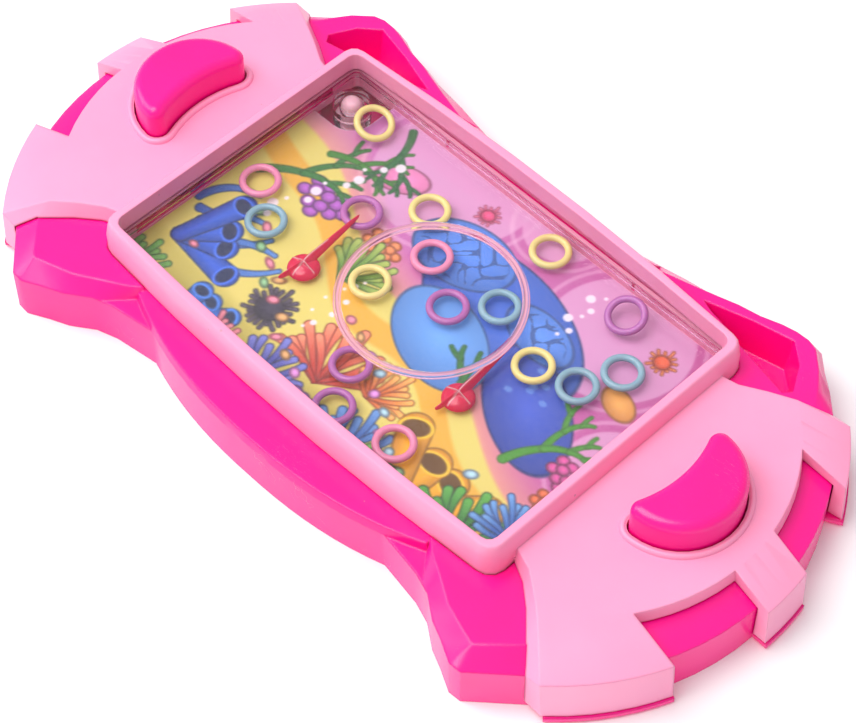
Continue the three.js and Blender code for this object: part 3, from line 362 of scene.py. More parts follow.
@dataclass(frozen=True)
class ClearPlastic:
    """Clear plastic that lets the lamps through to what lies behind it.

    Attributes:
        name: Name of the material.
        tint: Linear colour of light that passes.
        roughness: Plain roughness.
        scuffs: Strength of the hairline scratches.
        rim: Name of a mesh attribute that is 1 where a painted pink reflection of the surrounding moulding
            is laid on, or nothing.
    """

    name: str
    tint: Rgba
    roughness: float = 0.03
    scuffs: float = 0.5
    rim: str = ""

    def build(self) -> Material:
        """Makes the material.

        Returns:
            Glass for sight and a tinted opening for shadow and diffuse rays, with fine scratches and a
            painted pink reflection on the rim.
        """
        material, tree, shader = new_material(self.name)
        surface = add_node(tree, "ShaderNodeGroup", node_tree=MOULDING, Scuffs=self.scuffs)
        bump = add_node(tree, "ShaderNodeBump", Strength=0.25, Distance=SCRATCH_DEPTH)
        tree.links.new(surface.outputs["Scuff"], bump.inputs["Height"])
        tree.links.new(bump.outputs["Normal"], shader.inputs["Normal"])
        shader.inputs["Base Color"].default_value = self.tint
        shader.inputs["Roughness"].default_value = self.roughness
        shader.inputs["IOR"].default_value = CLEAR_INDEX
        shader.inputs["Transmission Weight"].default_value = 1.0
        body = shader.outputs[0]
        # Painted reflection: a pink tint and an opaque pink layer on the rim stand in for the surrounding
        # moulding seen in it.
        if self.rim:
            mask = add_node(tree, "ShaderNodeAttribute", attribute_name=self.rim)
            tinted = mix_colour(tree, mask.outputs["Fac"], self.tint, RIM_REFLECTION_TINT)
            tree.links.new(tinted, shader.inputs["Base Color"])
            painted_reflection = add_node(tree, "ShaderNodeBsdfPrincipled", Roughness=0.2)
            painted_reflection.inputs["Base Color"].default_value = RIM_REFLECTION_COLOUR
            share = add_node(tree, "ShaderNodeMath", operation="MULTIPLY")
            tree.links.new(mask.outputs["Fac"], share.inputs[0])
            share.inputs[1].default_value = RIM_REFLECTION_SHARE
            body = mix_shaders(tree, share.outputs[0], body, painted_reflection.outputs[0])
        way = add_node(tree, "ShaderNodeLightPath")
        open_to(tree, body, (way.outputs["Is Shadow Ray"], way.outputs["Is Diffuse Ray"]),
                tuple(c ** 0.5 for c in self.tint[:3]) + (1.0,))
        return material


@dataclass(frozen=True)
class PrintedInk:
    """Printed picture whose colours lie in the mesh's own attribute.

    Attributes:
        name: Name of the material.
        attribute: Name of the colour attribute.
        roughness: Plain roughness.
    """

    name: str
    attribute: str
    roughness: float = 0.45

    def build(self) -> Material:
        """Makes the material.

        Returns:
            The printed colours with a fine ink grain.
        """
        material, tree, shader = new_material(self.name)
        ink = add_node(tree, "ShaderNodeAttribute", attribute_name=self.attribute)
        surface = add_node(tree, "ShaderNodeGroup", node_tree=MOULDING, Peel=INK_GRAIN)
        grain = mix_colour(tree, surface.outputs["Peel"], ink.outputs["Color"], PALE_GRAIN)
        tree.links.new(grain, shader.inputs["Base Color"])
        shader.inputs["Roughness"].default_value = self.roughness
        shader.inputs["Specular IOR Level"].default_value = INK_SHINE
        return material


def new_material(name: str) -> tuple[Material, Tree, Node]:
    """Makes a material with its Principled shader.

    Args:
        name: Name of the material.

    Returns:
        The material, its tree and the shader node.
    """
    material = bpy.data.materials.new(name)
    material.use_nodes = True
    tree = material.node_tree
    return material, tree, tree.nodes["Principled BSDF"]


def mix_colour(tree: Tree, share: Socket, first: Socket | Rgba, second: Socket | Rgba) -> Socket:
    """Blends two colours, each a socket or a plain colour.

    Args:
        tree: The tree that gets the node.
        share: Socket with the share of the second colour.
        first: Colour at 0.
        second: Colour at 1.

    Returns:
        The socket with the blended colour.
    """
    mixed = add_node(tree, "ShaderNodeMix", data_type="RGBA")
    tree.links.new(share, mixed.inputs[0])
    for socket, colour in ((mixed.inputs[6], first), (mixed.inputs[7], second)):
        if isinstance(colour, Socket):
            tree.links.new(colour, socket)
        else:
            socket.default_value = colour
    return mixed.outputs[2]


def mix_shaders(tree: Tree, share: Socket, first: Socket, second: Socket) -> Socket:
    """Blends two shaders.

    Args:
        tree: The tree that gets the node.
        share: Socket with the share of the second shader.
        first: Shader at 0.
        second: Shader at 1.

    Returns:
        The socket with the blended shader.
    """
    mixed = add_node(tree, "ShaderNodeMixShader")
    for socket, source in zip(mixed.inputs, (share, first, second)):
        tree.links.new(source, socket)
    return mixed.outputs[0]


def open_to(tree: Tree, body: Socket, rays: tuple[Socket, Socket], tint: Rgba = (1, 1, 1, 1)) -> None:
    """Makes the surface an opening for every ray for which one of two sockets is 1.

    Args:
        tree: The material's tree.
        body: Shader for all other rays.
        rays: The two sockets.
        tint: Linear colour of light that passes.
    """
    passing = add_node(tree, "ShaderNodeMath", operation="MAXIMUM")
    for socket, source in zip(passing.inputs, rays):
        tree.links.new(source, socket)
    gap = add_node(tree, "ShaderNodeBsdfTransparent", Color=tint)
    surface = mix_shaders(tree, passing.outputs[0], body, gap.outputs[0])
    tree.links.new(surface, tree.nodes["Material Output"].inputs["Surface"])


# Surfaces worked out as arrays.


def grid_faces(rows: int, columns: int, wrap: bool = True, loop: bool = False) -> Array:
    """Quads of a grid whose points run row by row.

    Args:
        rows: Number of rows of points.
        columns: Number of points in a row.
        wrap: True if each row closes on itself.
        loop: True if the last row joins the first.

    Returns:
        Array of four point numbers for each quad.
    """
    across = columns if wrap else columns - 1
    row, column = np.meshgrid(np.arange(rows if loop else rows - 1), np.arange(across), indexing="ij")
    after = (column + 1) % columns
    here, up = row * columns, (row + 1) % rows * columns
    return np.stack([here + column, here + after, up + after, up + column], -1).reshape(-1, 4)


def add_object(name: str, data: bpy.types.ID) -> Piece:
    """Makes an object of a mesh, lamp or camera in the scene."""
    made = bpy.data.objects.new(name, data)
    bpy.context.scene.collection.objects.link(made)
    return made


def rows_of(items: bpy.types.bpy_prop_collection, key: str) -> Array:
    """Three values of each point or face of a mesh, one row for each."""
    values = np.empty(3 * len(items), np.float32)
    items.foreach_get(key, values)
    return values.reshape(-1, 3)


def mark(mesh: bpy.types.Mesh, name: str, values: Array, domain: str = "POINT") -> None:
    """Stores one value at each point or face of a mesh, for its material."""
    mesh.attributes.new(name, "FLOAT", domain).data.foreach_set("value", values.astype(np.float32))


def put(name: str, points: Array, quads: Array, caps: Sequence[Sequence[int]] = (),
        smooth: float = 35.0) -> Piece:
    """Makes an object from millimetre points.

    Args:
        name: Name of the object.
        points: Array of points in millimetres.
        quads: Array of quads.
        caps: Further faces, each a list of point numbers.
        smooth: Angle in degrees below which neighbouring faces shade as one surface.

    Returns:
        The object, closed at coincident points and facing outwards.
    """
    mesh = bpy.data.meshes.new(name)
    mesh.from_pydata((np.asarray(points, float).reshape(-1, 3) * MM).tolist(), [],
                     quads.tolist() + [list(cap) for cap in caps])
    work = bmesh.new()
    work.from_mesh(mesh)
    bmesh.ops.remove_doubles(work, verts=work.verts, dist=WELD)
    bmesh.ops.dissolve_degenerate(work, edges=work.edges, dist=SLIVER)
    bmesh.ops.recalc_face_normals(work, faces=work.faces)
    work.to_mesh(mesh)
    work.free()
    mesh.shade_smooth()
    mesh.set_sharp_from_angle(angle=math.radians(smooth))
    return add_object(name, mesh)


def loft(name: str, rings: Array, smooth: float = 35.0) -> Piece:
    """Closed solid through a stack of rings with the same number of points, capped at both ends.

    Args:
        name: Name of the object.
        rings: Array of ring, point and coordinate.
        smooth: Angle in degrees below which faces shade as one surface.

    Returns:
        The object.
    """
    count, around = rings.shape[:2]
    caps = [list(range(around))[::-1], list(range((count - 1) * around, count * around))]
    return put(name, rings.reshape(-1, 3), grid_faces(count, around), caps, smooth)


def revolve(name: str, profile: Array, centre: Pair, steps: int = 64,
            smooth: float = 35.0) -> Piece:
    """Profile of radius and height turned about an upright axis: x = cx + r cos a, y = cy + r sin a.

    Args:
        name: Name of the object.
        profile: Array of radius and height, from axis to axis.
        centre: Place of the axis.
        steps: Number of steps round.
        smooth: Angle in degrees below which faces shade as one surface.

    Returns:
        The object.
    """
    angle = np.linspace(0, 2 * np.pi, steps, endpoint=False)
    radius, height = profile[:, :1], profile[:, 1:2]
    points = np.stack([centre[0] + radius * np.cos(angle), centre[1] + radius * np.sin(angle),
                       height + 0 * angle], -1)
    return put(name, points.reshape(-1, 3), grid_faces(len(profile), steps), (), smooth)


def rounded(corners: Sequence[Triple], steps: int = 5) -> Array:
    """Open profile whose inner corners are rounded.

    Each corner (a, b, radius) is replaced by a quadratic curve between the points at that distance
    before and after it: p = (1 - t)^2 p0 + 2 t (1 - t) corner + t^2 p1.

    Args:
        corners: Corner points with their rounding.
        steps: Steps of each rounding.

    Returns:
        Array of profile points.
    """
    points = np.array(corners, float)
    out = [points[:1, :2]]
    share = np.linspace(0, 1, steps + 1)[:, None]
    for before, corner, after in zip(points[:-2], points[1:-1], points[2:]):
        middle, radius = corner[:2], corner[2]
        back, onward = before[:2] - middle, after[:2] - middle
        start = middle + back * min(0.5, radius / max(np.hypot(*back), 1e-9))
        end = middle + onward * min(0.5, radius / max(np.hypot(*onward), 1e-9))
        out.append((1 - share) ** 2 * start + 2 * share * (1 - share) * middle + share**2 * end)
    out.append(points[-1:, :2])
    return np.concatenate(out)


def arc(centre: Pair, radius: float, start: float, end: float, steps: int) -> Array:
    """Points on a circle between two angles in radians."""
    angle = np.linspace(start, end, steps + 1)
    return np.stack([centre[0] + radius * np.cos(angle), centre[1] + radius * np.sin(angle)], -1)


def polar(at: Pair, reach: float, turn: float) -> Pair:
    """Point at a distance from a place, in a direction given in radians."""
    return at[0] + reach * math.cos(turn), at[1] + reach * math.sin(turn)


def at_height(outline: Array, height: float) -> Array:
    """Gives an outline its height."""
    return np.concatenate([outline, np.full((len(outline), 1), float(height))], 1)


def dressed_copy(node: str, name: str, smooth: float = 32.0) -> Piece:
    """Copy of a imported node, merged, with flat faces joined and its normals weighted by area.

    Args:
        node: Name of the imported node, which the copy stands for.
        name: Name of the new piece.
        smooth: Angle in degrees below which faces shade as one surface.

    Returns:
        The piece, riding on the node's body.
    """
    source = frame["nodes"][node]
    mesh = source.data.copy()
    for attribute in [a.name for a in mesh.attributes if a.name == "custom_normal"]:
        mesh.attributes.remove(mesh.attributes[attribute])
    mesh.materials.clear()
    work = bmesh.new()
    work.from_mesh(mesh)
    bmesh.ops.remove_doubles(work, verts=work.verts, dist=COPY_WELD)
    bmesh.ops.dissolve_limit(work, angle_limit=math.radians(1.0), verts=work.verts, edges=work.edges)
    work.to_mesh(mesh)
    work.free()
    mesh.name = name
    mesh.shade_smooth()
    mesh.set_sharp_from_angle(angle=math.radians(smooth))
    made = add_object(name, mesh)
    weighted = made.modifiers.new("even_normals", "WEIGHTED_NORMAL")
    weighted.keep_sharp = True
    weighted.weight = 60
    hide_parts(node)
    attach(made, source["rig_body"])
    return made


# Finishes of this object.


RING_COLOURS = {
    Slot.YELLOW: (230, 212, 136),
    Slot.PINK: (232, 138, 174),
    Slot.PURPLE: (176, 100, 168),
    Slot.BLUE: (134, 170, 186),
}
PLASTICS: dict[Slot, MouldedPlastic | ClearPlastic] = {
    # Hot pink carries painted light: a paler tone on the upright walls round the tank.
    Slot.HOT: MouldedPlastic("hot_pink", linear(252, 10, 142), linear(242, 4, 130), 0.24, 0.7,
                             fewness=0.985, body_light=0.06, painted_light="well"),
    Slot.LIGHT: MouldedPlastic("light_pink", linear(250, 156, 193), linear(244, 147, 185), 0.36, 0.6,
                               fewness=0.975, body_light=0.06),
    Slot.CLEAR: ClearPlastic("clear_tray", (0.985, 0.955, 0.97, 1), 0.04, 0.4),
    Slot.SEAL: MouldedPlastic("seal", linear(226, 150, 176), linear(214, 136, 164), 0.4, 0, fewness=1),
    Slot.CARD: MouldedPlastic("card_stock", linear(238, 228, 236), linear(228, 216, 226), 0.7, 0,
                              fewness=1),
    Slot.PLUG: MouldedPlastic("plug_rubber", linear(226, 176, 190), linear(214, 160, 176), 0.45, 0.2,
                              fewness=0.99, body_light=0.3),
    # Pins carry painted highlights: pale lines on their rib tops.
    Slot.PIN: MouldedPlastic("pin_pink", linear(240, 38, 92), linear(222, 22, 74), 0.16, 0,
                             fewness=0.99, body_light=0.3, see_through=0.3, painted_light="painted_light"),
    **{slot: MouldedPlastic(slot.value, linear(*colour), linear(*(0.94 * c for c in colour)), 0.4, 0,
                            fewness=0.985, body_light=0.2) for slot, colour in RING_COLOURS.items()},
    Slot.RUBBER: MouldedPlastic("soft_rubber", linear(222, 216, 208), linear(206, 198, 190), 0.55, 0.2),
    Slot.SEAT: MouldedPlastic("white_plastic", linear(240, 238, 234), linear(228, 226, 222), 0.4),
    Slot.STEEL: MouldedPlastic("zinc_steel", linear(188, 190, 196), linear(160, 162, 170), 0.32, 0.15,
                               metallic=1.0),
}


@dataclass(frozen=True)
class Finishes:
    """All materials of the game.

    Attributes:
        slots: The material of each slot.
        window: Clear plastic of the window.
        ink: Print on the card.
    """

    slots: dict[Slot, Material]
    window: Material
    ink: Material

    @classmethod
    def build(cls) -> "Finishes":
        """Builds every material once.

        Returns:
            The materials.
        """
        # The window's rim carries a painted pink reflection.
        window = ClearPlastic("clear_window", (0.99, 0.975, 0.985, 1), 0.02, 0.9, "rim")
        return cls({slot: plastic.build() for slot, plastic in PLASTICS.items()}, window.build(),
                   PrintedInk("printed_sea_bed", "ink").build())


def dress(piece: Piece, finishes: Finishes, slot: Slot, special: Material | None = None) -> Piece:
    """Gives a piece its only material: the slot's own, or a special one in its place.

    Args:
        piece: The piece.
        finishes: The game's materials.
        slot: The piece's slot.
        special: Material in place of the slot's own.

    Returns:
        The piece.
    """
    piece.data.materials.clear()
    piece.data.materials.append(special or finishes.slots[slot])
    return piece


# The picture under the tank.


@dataclass
class SeaBedPrint:
    """Generic sea bed drawn as an array of colours: sand, swell, corals, weed, pebbles and bubbles.

    Attributes:
        half_x: Half length of the print.
        low_y: Front edge.
        high_y: Back edge.
        height: Height of the printed side.
        thick: Thickness of the ink film.
        columns: Points along the print.
        rows: Points across the print.
        collar: Place of the filler collar and radius of the open corner round it.
        ports: Place and radius of the opening over each jet.
    """

    half_x: float = 55.75
    low_y: float = -35.95
    high_y: float = 34.75
    height: float = 10.17
    thick: float = 0.014
    columns: int = 384
    rows: int = 244
    collar: Triple = (-50.0, 27.8, 5.82)
    ports: tuple[Triple, ...] = ((51.0, -33.0, 1.6), (-51.0, -33.0, 1.6))

    def __post_init__(self) -> None:
        """Lays out the grid and an empty picture."""
        self.x, self.y = np.meshgrid(np.linspace(-self.half_x, self.half_x, self.columns),
                                     np.linspace(self.low_y, self.high_y, self.rows))
        self.colours = np.ones((self.rows, self.columns, 3))

    def paint(self, share: Array, colour: Rgb | Array) -> None:
        """Lays a colour over the picture.

        Args:
            share: Cover from 0 to 1 at each point.
            colour: Display colour of 0 to 255, one or one at each point.
        """
        share = np.clip(share, 0, 1)[..., None]
        self.colours = self.colours * (1 - share) + share * np.asarray(colour, float) / 255

    def inside(self, distance: Array, soft: float = 0.22) -> Array:
        """Cover of a shape from its signed distance, negative inside, with a soft edge."""
        return np.clip(0.5 - distance / (2 * soft), 0, 1)

    @staticmethod
    def blend(dark: Array, light: Array, share: Array) -> Array:
        """Blend of two colours by the light one's share at each point."""
        share = share[..., None]
        return dark * (1 - share) + light * share

    def ellipse(self, at: Pair, size: Pair, turn: float = 0.0) -> Array:
        """Signed distance, about true near the edge, of a turned ellipse.

        Args:
            at: Centre.
            size: Half axes.
            turn: Turn in degrees.

        Returns:
            Distance at each point.
        """
        c, s = math.cos(math.radians(turn)), math.sin(math.radians(turn))
        dx, dy = self.x - at[0], self.y - at[1]
        u, v = (dx * c + dy * s) / size[0], (-dx * s + dy * c) / size[1]
        return (np.hypot(u, v) - 1) * min(size)

    def stroke(self, start: Pair, end: Pair, wide: float,
               narrow: float, bow: float = 0.0) -> tuple[Array, Array]:
        """Distance to a tapered stroke that may bow sideways.

        The stroke's middle is start + t (end - start) + bow 4 t (1 - t) times the side vector.

        Args:
            start: First point.
            end: Last point.
            wide: Half width at the start.
            narrow: Half width at the end.
            bow: Sideways rise at the middle.

        Returns:
            Signed distance and the share along the stroke.
        """
        run = np.array(end, float) - np.array(start, float)
        length = max(float(np.hypot(*run)), 1e-6)
        along, side = run / length, np.array([-run[1], run[0]]) / length
        dx, dy = self.x - start[0], self.y - start[1]
        t = np.clip((dx * along[0] + dy * along[1]) / length, 0, 1)
        off = bow * 4 * t * (1 - t)
        px, py = start[0] + run[0] * t + side[0] * off, start[1] + run[1] * t + side[1] * off
        return np.hypot(self.x - px, self.y - py) - (wide + (narrow - wide) * t), t

    def water(self) -> None:
        """Lilac water that deepens to the right, with large pale rounds and thin light arcs."""
        share = np.clip((self.x + self.y * 0.6 + 60) / 130, 0, 1)
        self.colours = self.blend(np.array([206, 128, 196]), np.array([190, 84, 152]), share) / 255
        for at, size in (((-20, 31), 19), ((34, 24), 16), ((56, -2), 11), ((6, 37), 9)):
            round_form = self.ellipse(at, (size, size))
            self.paint(0.8 * self.inside(round_form, 0.3), (222, 168, 208))
            self.paint(0.5 * self.inside(np.abs(round_form - 2.2) - 0.5, 0.3), (232, 186, 216))

    def sand(self) -> None:
        """Yellow sand with a golden path, bounded by a wavy line: y = a + b x + c sin(x / d)."""
        edge = -2.0 - 0.36 * self.x + 2.4 * np.sin(self.x / 9.0)
        glow = np.clip((edge + 9 - self.y) / 9, 0, 1)
        self.paint(0.75 * glow, (236, 176, 132))
        self.paint(self.inside(self.y - edge, 0.5), (226, 214, 110))
        path = np.abs(self.y - (edge - 8.0 + 1.5 * np.sin(self.x / 6.0))) - 3.2
        self.paint(0.9 * self.inside(path, 0.5), (232, 176, 52))
        self.paint(0.8 * self.inside(self.y + 29 + 0.1 * self.x, 1.5), (196, 186, 84))
        self.paint(0.85 * self.inside(self.y + 33.5, 1.2), (92, 96, 74))

    def boulder(self, at: Pair, size: Pair, turn: float,
                colour: Rgb) -> None:
        """Rounded shaded stone with a darker outline and a light upper side.

        Args:
            at: Centre.
            size: Half axes.
            turn: Turn in degrees.
            colour: Display colour.
        """
        main = np.array(colour, float)
        d = self.ellipse(at, size, turn)
        self.paint(self.inside(d - 0.35), main * 0.62)
        depth = np.clip(-d / min(size), 0, 1)
        light = np.clip(0.45 + 0.5 * depth + 0.25 * (self.y - at[1]) / max(size), 0, 1)
        self.paint(self.inside(d), self.blend(main * 0.80, np.minimum(main * 1.22 + 18, 255), light))

    def branching(self, root: Pair, angle: float, length: float, width: float,
                  colour: Rgb, levels: int, bend: float = 24.0) -> None:
        """Forked frond: each stroke ends in two shorter ones.

        Args:
            root: Where the frond starts.
            angle: Direction in degrees.
            length: Length of the first stroke.
            width: Half width of the first stroke.
            colour: Display colour.
            levels: Number of forks left.
            bend: Angle of each fork.
        """
        end = polar(root, length, math.radians(angle))
        d, _ = self.stroke(root, end, width, width * 0.72, bow=length * 0.06)
        self.paint(self.inside(d - 0.18), np.array(colour, float) * 0.72)
        self.paint(self.inside(d + 0.1), colour)
        if levels:
            for turn, share in ((bend, 0.72), (-bend * 0.9, 0.62)):
                self.branching(end, angle + turn, length * share, width * 0.76, colour, levels - 1, bend)

    def fan(self, root: Pair, size: float, middle: float, spread: float, count: int,
            colour: Rgb, tip: Rgb) -> None:
        """Tuft of tapered fingers with light tips.

        Args:
            root: Common foot.
            size: Length of the longest finger.
            middle: Middle direction in degrees.
            spread: Whole angle of the tuft.
            count: Number of fingers.
            colour: Display colour of a finger's foot.
            tip: Display colour of its tip.
        """
        foot, top = np.array(colour, float), np.array(tip, float)
        for i in range(count):
            share = i / (count - 1) - 0.5
            angle = math.radians(middle + spread * share)
            reach = size * (1 - 0.35 * abs(share) + 0.14 * math.sin(i * 2.4))
            end = polar(root, reach, angle)
            d, t = self.stroke(root, end, 0.35, size * 0.075, bow=reach * 0.08 * math.sin(i * 1.7))
            self.paint(self.inside(d - 0.16), foot * 0.6)
            self.paint(self.inside(d + 0.06), self.blend(foot, top, t**1.5))

    def cluster(self, at: Pair, size: float, bead: float, colour: Rgb) -> None:
        """Heap of round beads set on a sunflower spiral: radius grows with the root of the number.

        Args:
            at: Centre of the heap.
            size: Radius of the heap.
            bead: Radius of a bead.
            colour: Display colour.
        """
        count = max(6, int((size / bead) ** 2 * 0.8))
        for i in range(count):
            radius, angle = size * math.sqrt((count - i) / count), i * GOLDEN_TURN
            self.boulder((at[0] + radius * math.cos(angle), at[1] + 0.75 * radius * math.sin(angle)),
                         (bead, bead * 0.86), 0, colour)

    def tubes(self, at: Pair, size: float, angle: float, colour: Rgb,
              count: int) -> None:
        """Group of open tubes, each a stroke with a dark mouth.

        Args:
            at: Common foot.
            size: Length of a tube.
            angle: Middle direction in degrees.
            colour: Display colour.
            count: Number of tubes.
        """
        main = np.array(colour, float)
        for i in range(count):
            turn = math.radians(angle + 26 * (i - (count - 1) / 2))
            reach = size * (0.85 + 0.22 * math.cos(i * 2.1))
            end = polar(at, reach, turn)
            d, _ = self.stroke(at, end, size * 0.13, size * 0.2)
            self.paint(self.inside(d - 0.3), main * 0.55)
            glow = np.clip(0.35 - d / (size * 0.24), 0, 1)
            self.paint(self.inside(d), self.blend(main * 0.8, np.minimum(main * 1.25, 255), glow))
            mouth = self.ellipse(end, (size * 0.19, size * 0.13), math.degrees(turn) + 90)
            self.paint(self.inside(mouth - 0.25), np.minimum(main * 1.3 + 20, 255))
            self.paint(self.inside(mouth + 0.25), main * 0.45)

    def bubbles(self, places: Sequence[Triple]) -> None:
        """Pale round bubbles, each a place and a radius."""
        for x, y, radius in places:
            d = self.ellipse((x, y), (radius, radius))
            self.paint(0.92 * self.inside(d, 0.18), (250, 240, 250))

    def maze(self, cover: Array, colour: Rgb, pitch: float = 1.5) -> None:
        """Winding grooves over a form: dark where sin(u + 1.3 sin v) sin(v + 1.3 sin u) is near 0.

        Args:
            cover: Signed distance of the form.
            colour: Display colour of the grooves.
            pitch: Distance between grooves.
        """
        u, v = self.x / pitch, self.y / pitch
        wave = np.sin(u + 1.3 * np.sin(0.8 * v)) * np.sin(v + 1.3 * np.sin(0.9 * u))
        self.paint(0.75 * (np.abs(wave) < 0.16) * self.inside(cover + 1.0), colour)

    def burst(self, at: Pair, size: float, colour: Rgb, tip: Rgb,
              count: int = 19) -> None:
        """Round spiny ball: a tuft of fingers all round with a shaded body."""
        self.fan(at, size, 90, 360 * (count - 1) / count, count, colour, tip)
        self.boulder(at, (size * 0.52, size * 0.48), 0, colour)

    def draw(self) -> None:
        """Paints the whole picture from back to front."""
        self.water()
        self.sand()
        self.reef()
        self.weed()
        self.front_edge()
        self.pebbles()
        self.bubbles([(-44 + 1.1 * i + 1.6 * math.sin(i * 1.9), -8 + 2.9 * i, 0.5 + 0.35 * (i % 3))
                      for i in range(12)])
        self.bubbles([(24 + 1.4 * math.sin(i * 2.2), 16 + 2.3 * i, 0.45 + 0.3 * (i % 3))
                      for i in range(7)])
        self.bubbles([(-14 + 2.2 * math.sin(i * 2.7), -20 + 2.1 * i, 0.4 + 0.3 * (i % 2))
                      for i in range(9)])

    def reef(self) -> None:
        """Blue grooved stones in the middle and smaller heads of coral round them."""
        for at, size, turn, colour, grooved in (
            ((14, 10), (23, 13), -14, (44, 84, 172), False),
            ((33, -2), (16, 8.5), -34, (40, 66, 160), False),
            ((-4, 17), (12, 8), 8, (62, 112, 196), True),
            ((8, -2), (14, 9), -22, (78, 134, 214), False),
            ((22, 13), (9, 5), -10, (66, 116, 202), True),
        ):
            self.boulder(at, size, turn, colour)
            if grooved:
                self.maze(self.ellipse(at, size, turn), np.array(colour) * 0.7, 1.4)
        for i in range(9):
            spot = (30 + 9 * math.cos(i * 2.4) * (i / 9), 3 + 6 * math.sin(i * 2.4) * (i / 9))
            self.paint(0.6 * self.inside(self.ellipse(spot, (0.9, 0.7))), (120, 170, 232))
        self.boulder((-28, 22), (6, 3.6), 24, (214, 112, 160))
        self.boulder((45, 12), (4.4, 2.8), -20, (226, 140, 60))
        self.cluster((-36, 6), 6.0, 1.5, (150, 74, 166))
        self.cluster((50, -8), 4.5, 1.2, (182, 66, 132))
        self.cluster((-18, 6), 4.2, 1.1, (222, 120, 70))
        self.burst((-22, -22), 5.6, (38, 34, 52), (96, 84, 104), 23)
        self.burst((44, 26), 3.2, (206, 76, 40), (250, 168, 90), 13)
        self.burst((-8, 28), 2.8, (206, 62, 110), (248, 150, 180), 13)

    def weed(self) -> None:
        """Green fronds and kelp at the left, the back and the right of the reef."""
        self.branching((-52, 2), 38, 10, 1.05, (48, 122, 52), 3)
        self.branching((-44, 16), 20, 7.5, 0.8, (62, 134, 44), 3, 30)
        self.branching((38, -14), 62, 8.5, 1.0, (70, 150, 40), 3, 28)
        self.branching((-36, 33), -66, 7.5, 0.85, (40, 112, 58), 3)
        self.branching((22, -12), 118, 7, 0.9, (44, 118, 48), 2)
        for i in range(6):
            root = (-55 + 2.6 * i, -12 - 2.2 * i)
            d, t = self.stroke(root, (root[0] + 9 + i, root[1] + 9), 1.1, 0.5, bow=2.2 * (-1) ** i)
            self.paint(self.inside(d - 0.25), (24, 52, 96))
            self.paint(self.inside(d), np.array([52, 96, 176]) + t[..., None] * np.array([40, 50, 40]))

    def front_edge(self) -> None:
        """Crowded row of corals, tubes and grass along the front of the tank."""
        self.fan((-18, -6), 11, 78, 120, 11, (76, 134, 44), (178, 202, 100))
        self.tubes((-50, -22), 14, 36, (40, 80, 172), 4)
        self.tubes((-35, -37), 11, 66, (50, 102, 186), 3)
        self.fan((-2, -28), 14, 104, 130, 15, (190, 52, 40), (244, 150, 112))
        self.fan((8, -23), 9, 70, 140, 13, (206, 92, 40), (250, 190, 96))
        self.fan((-12, -37), 11, 84, 120, 11, (50, 56, 146), (124, 132, 214))
        self.cluster((0, -34), 4.0, 1.1, (120, 58, 140))
        self.fan((14, -38), 12, 96, 120, 13, (26, 74, 160), (104, 158, 220))
        self.tubes((30, -38), 18, 80, (226, 150, 30), 4)
        self.fan((21, -39), 9, 90, 140, 13, (30, 110, 52), (120, 190, 80))
        self.fan((44, -37), 13, 108, 150, 15, (22, 100, 40), (92, 178, 70))
        self.fan((52, -27), 9, 130, 130, 13, (36, 84, 170), (110, 170, 226))
        self.fan((-53, -37), 10, 58, 90, 9, (36, 110, 46), (112, 176, 80))
        self.fan((-26, -38), 8, 90, 130, 11, (186, 60, 96), (240, 150, 160))
        self.cluster((52, -16), 3.6, 1.0, (216, 96, 52))

    def pebbles(self) -> None:
        """Scattered flat stones on the sand, their places from a low-discrepancy walk."""
        tints = ((232, 120, 140), (150, 190, 220), (206, 150, 90), (120, 170, 120), (220, 130, 200))
        step_x, step_y = 0.618034, 0.754878
        for i in range(26):
            x = -46 + 84 * ((i * step_x) % 1)
            y = -31 + 20 * ((i * step_y) % 1) - 0.20 * x
            self.boulder((x, y), (0.8 + 0.5 * ((i * 0.37) % 1), 0.55 + 0.3 * ((i * 0.71) % 1)),
                         40 * math.sin(i), tints[i % 5])

    def build(self, finishes: Finishes) -> list[Piece]:
        """Makes the printed skin and dresses the card under it.

        Args:
            finishes: The game's materials.

        Returns:
            The pieces made.
        """
        self.draw()
        points = np.stack([self.x, self.y, np.full_like(self.x, self.height)], -1).reshape(-1, 3)
        quads = grid_faces(self.rows, self.columns, wrap=False)
        middle = points[quads].mean(1)
        keep = np.ones(len(quads), bool)
        for cx, cy, radius in (self.collar, *self.ports):
            keep &= np.hypot(middle[:, 0] - cx, middle[:, 1] - cy) > radius
        over, beyond = middle[:, 0] - self.collar[0], middle[:, 1] - self.collar[1]
        keep &= ~((over < self.collar[2]) & (beyond > 0)) & ~((over < 0) & (beyond > -self.collar[2]))
        quads = quads[keep]
        mesh = bpy.data.meshes.new("card_print")
        mesh.from_pydata((points * MM).tolist(), [], quads.tolist())
        mesh.update()
        bright = to_linear(np.clip(self.colours.reshape(-1, 3), 0, 1))
        ink = mesh.attributes.new("ink", "FLOAT_COLOR", "POINT")
        ink.data.foreach_set("color", np.concatenate([bright, np.ones((len(bright), 1))], 1)
                             .astype(np.float32).ravel())
        work = bmesh.new()
        work.from_mesh(mesh)
        bmesh.ops.delete(work, geom=[v for v in work.verts if not v.link_faces], context="VERTS")
        edges = [edge for edge in work.edges if edge.is_boundary]
        grown = bmesh.ops.extrude_edge_only(work, edges=edges)["geom"]
        lower = [part for part in grown if isinstance(part, bmesh.types.BMVert)]
        bmesh.ops.translate(work, verts=lower, vec=(0, 0, -self.thick * MM))
        foot = [part for part in grown if isinstance(part, bmesh.types.BMEdge) and part.is_boundary]
        bmesh.ops.triangle_fill(work, use_beauty=True, edges=foot, normal=(0, 0, -1))
        bmesh.ops.recalc_face_normals(work, faces=work.faces)
        work.to_mesh(mesh)
        work.free()
        made = add_object("card_print", mesh)
        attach(made, Body.CASE.value)
        card = dressed_copy("art_card", "card_stock")
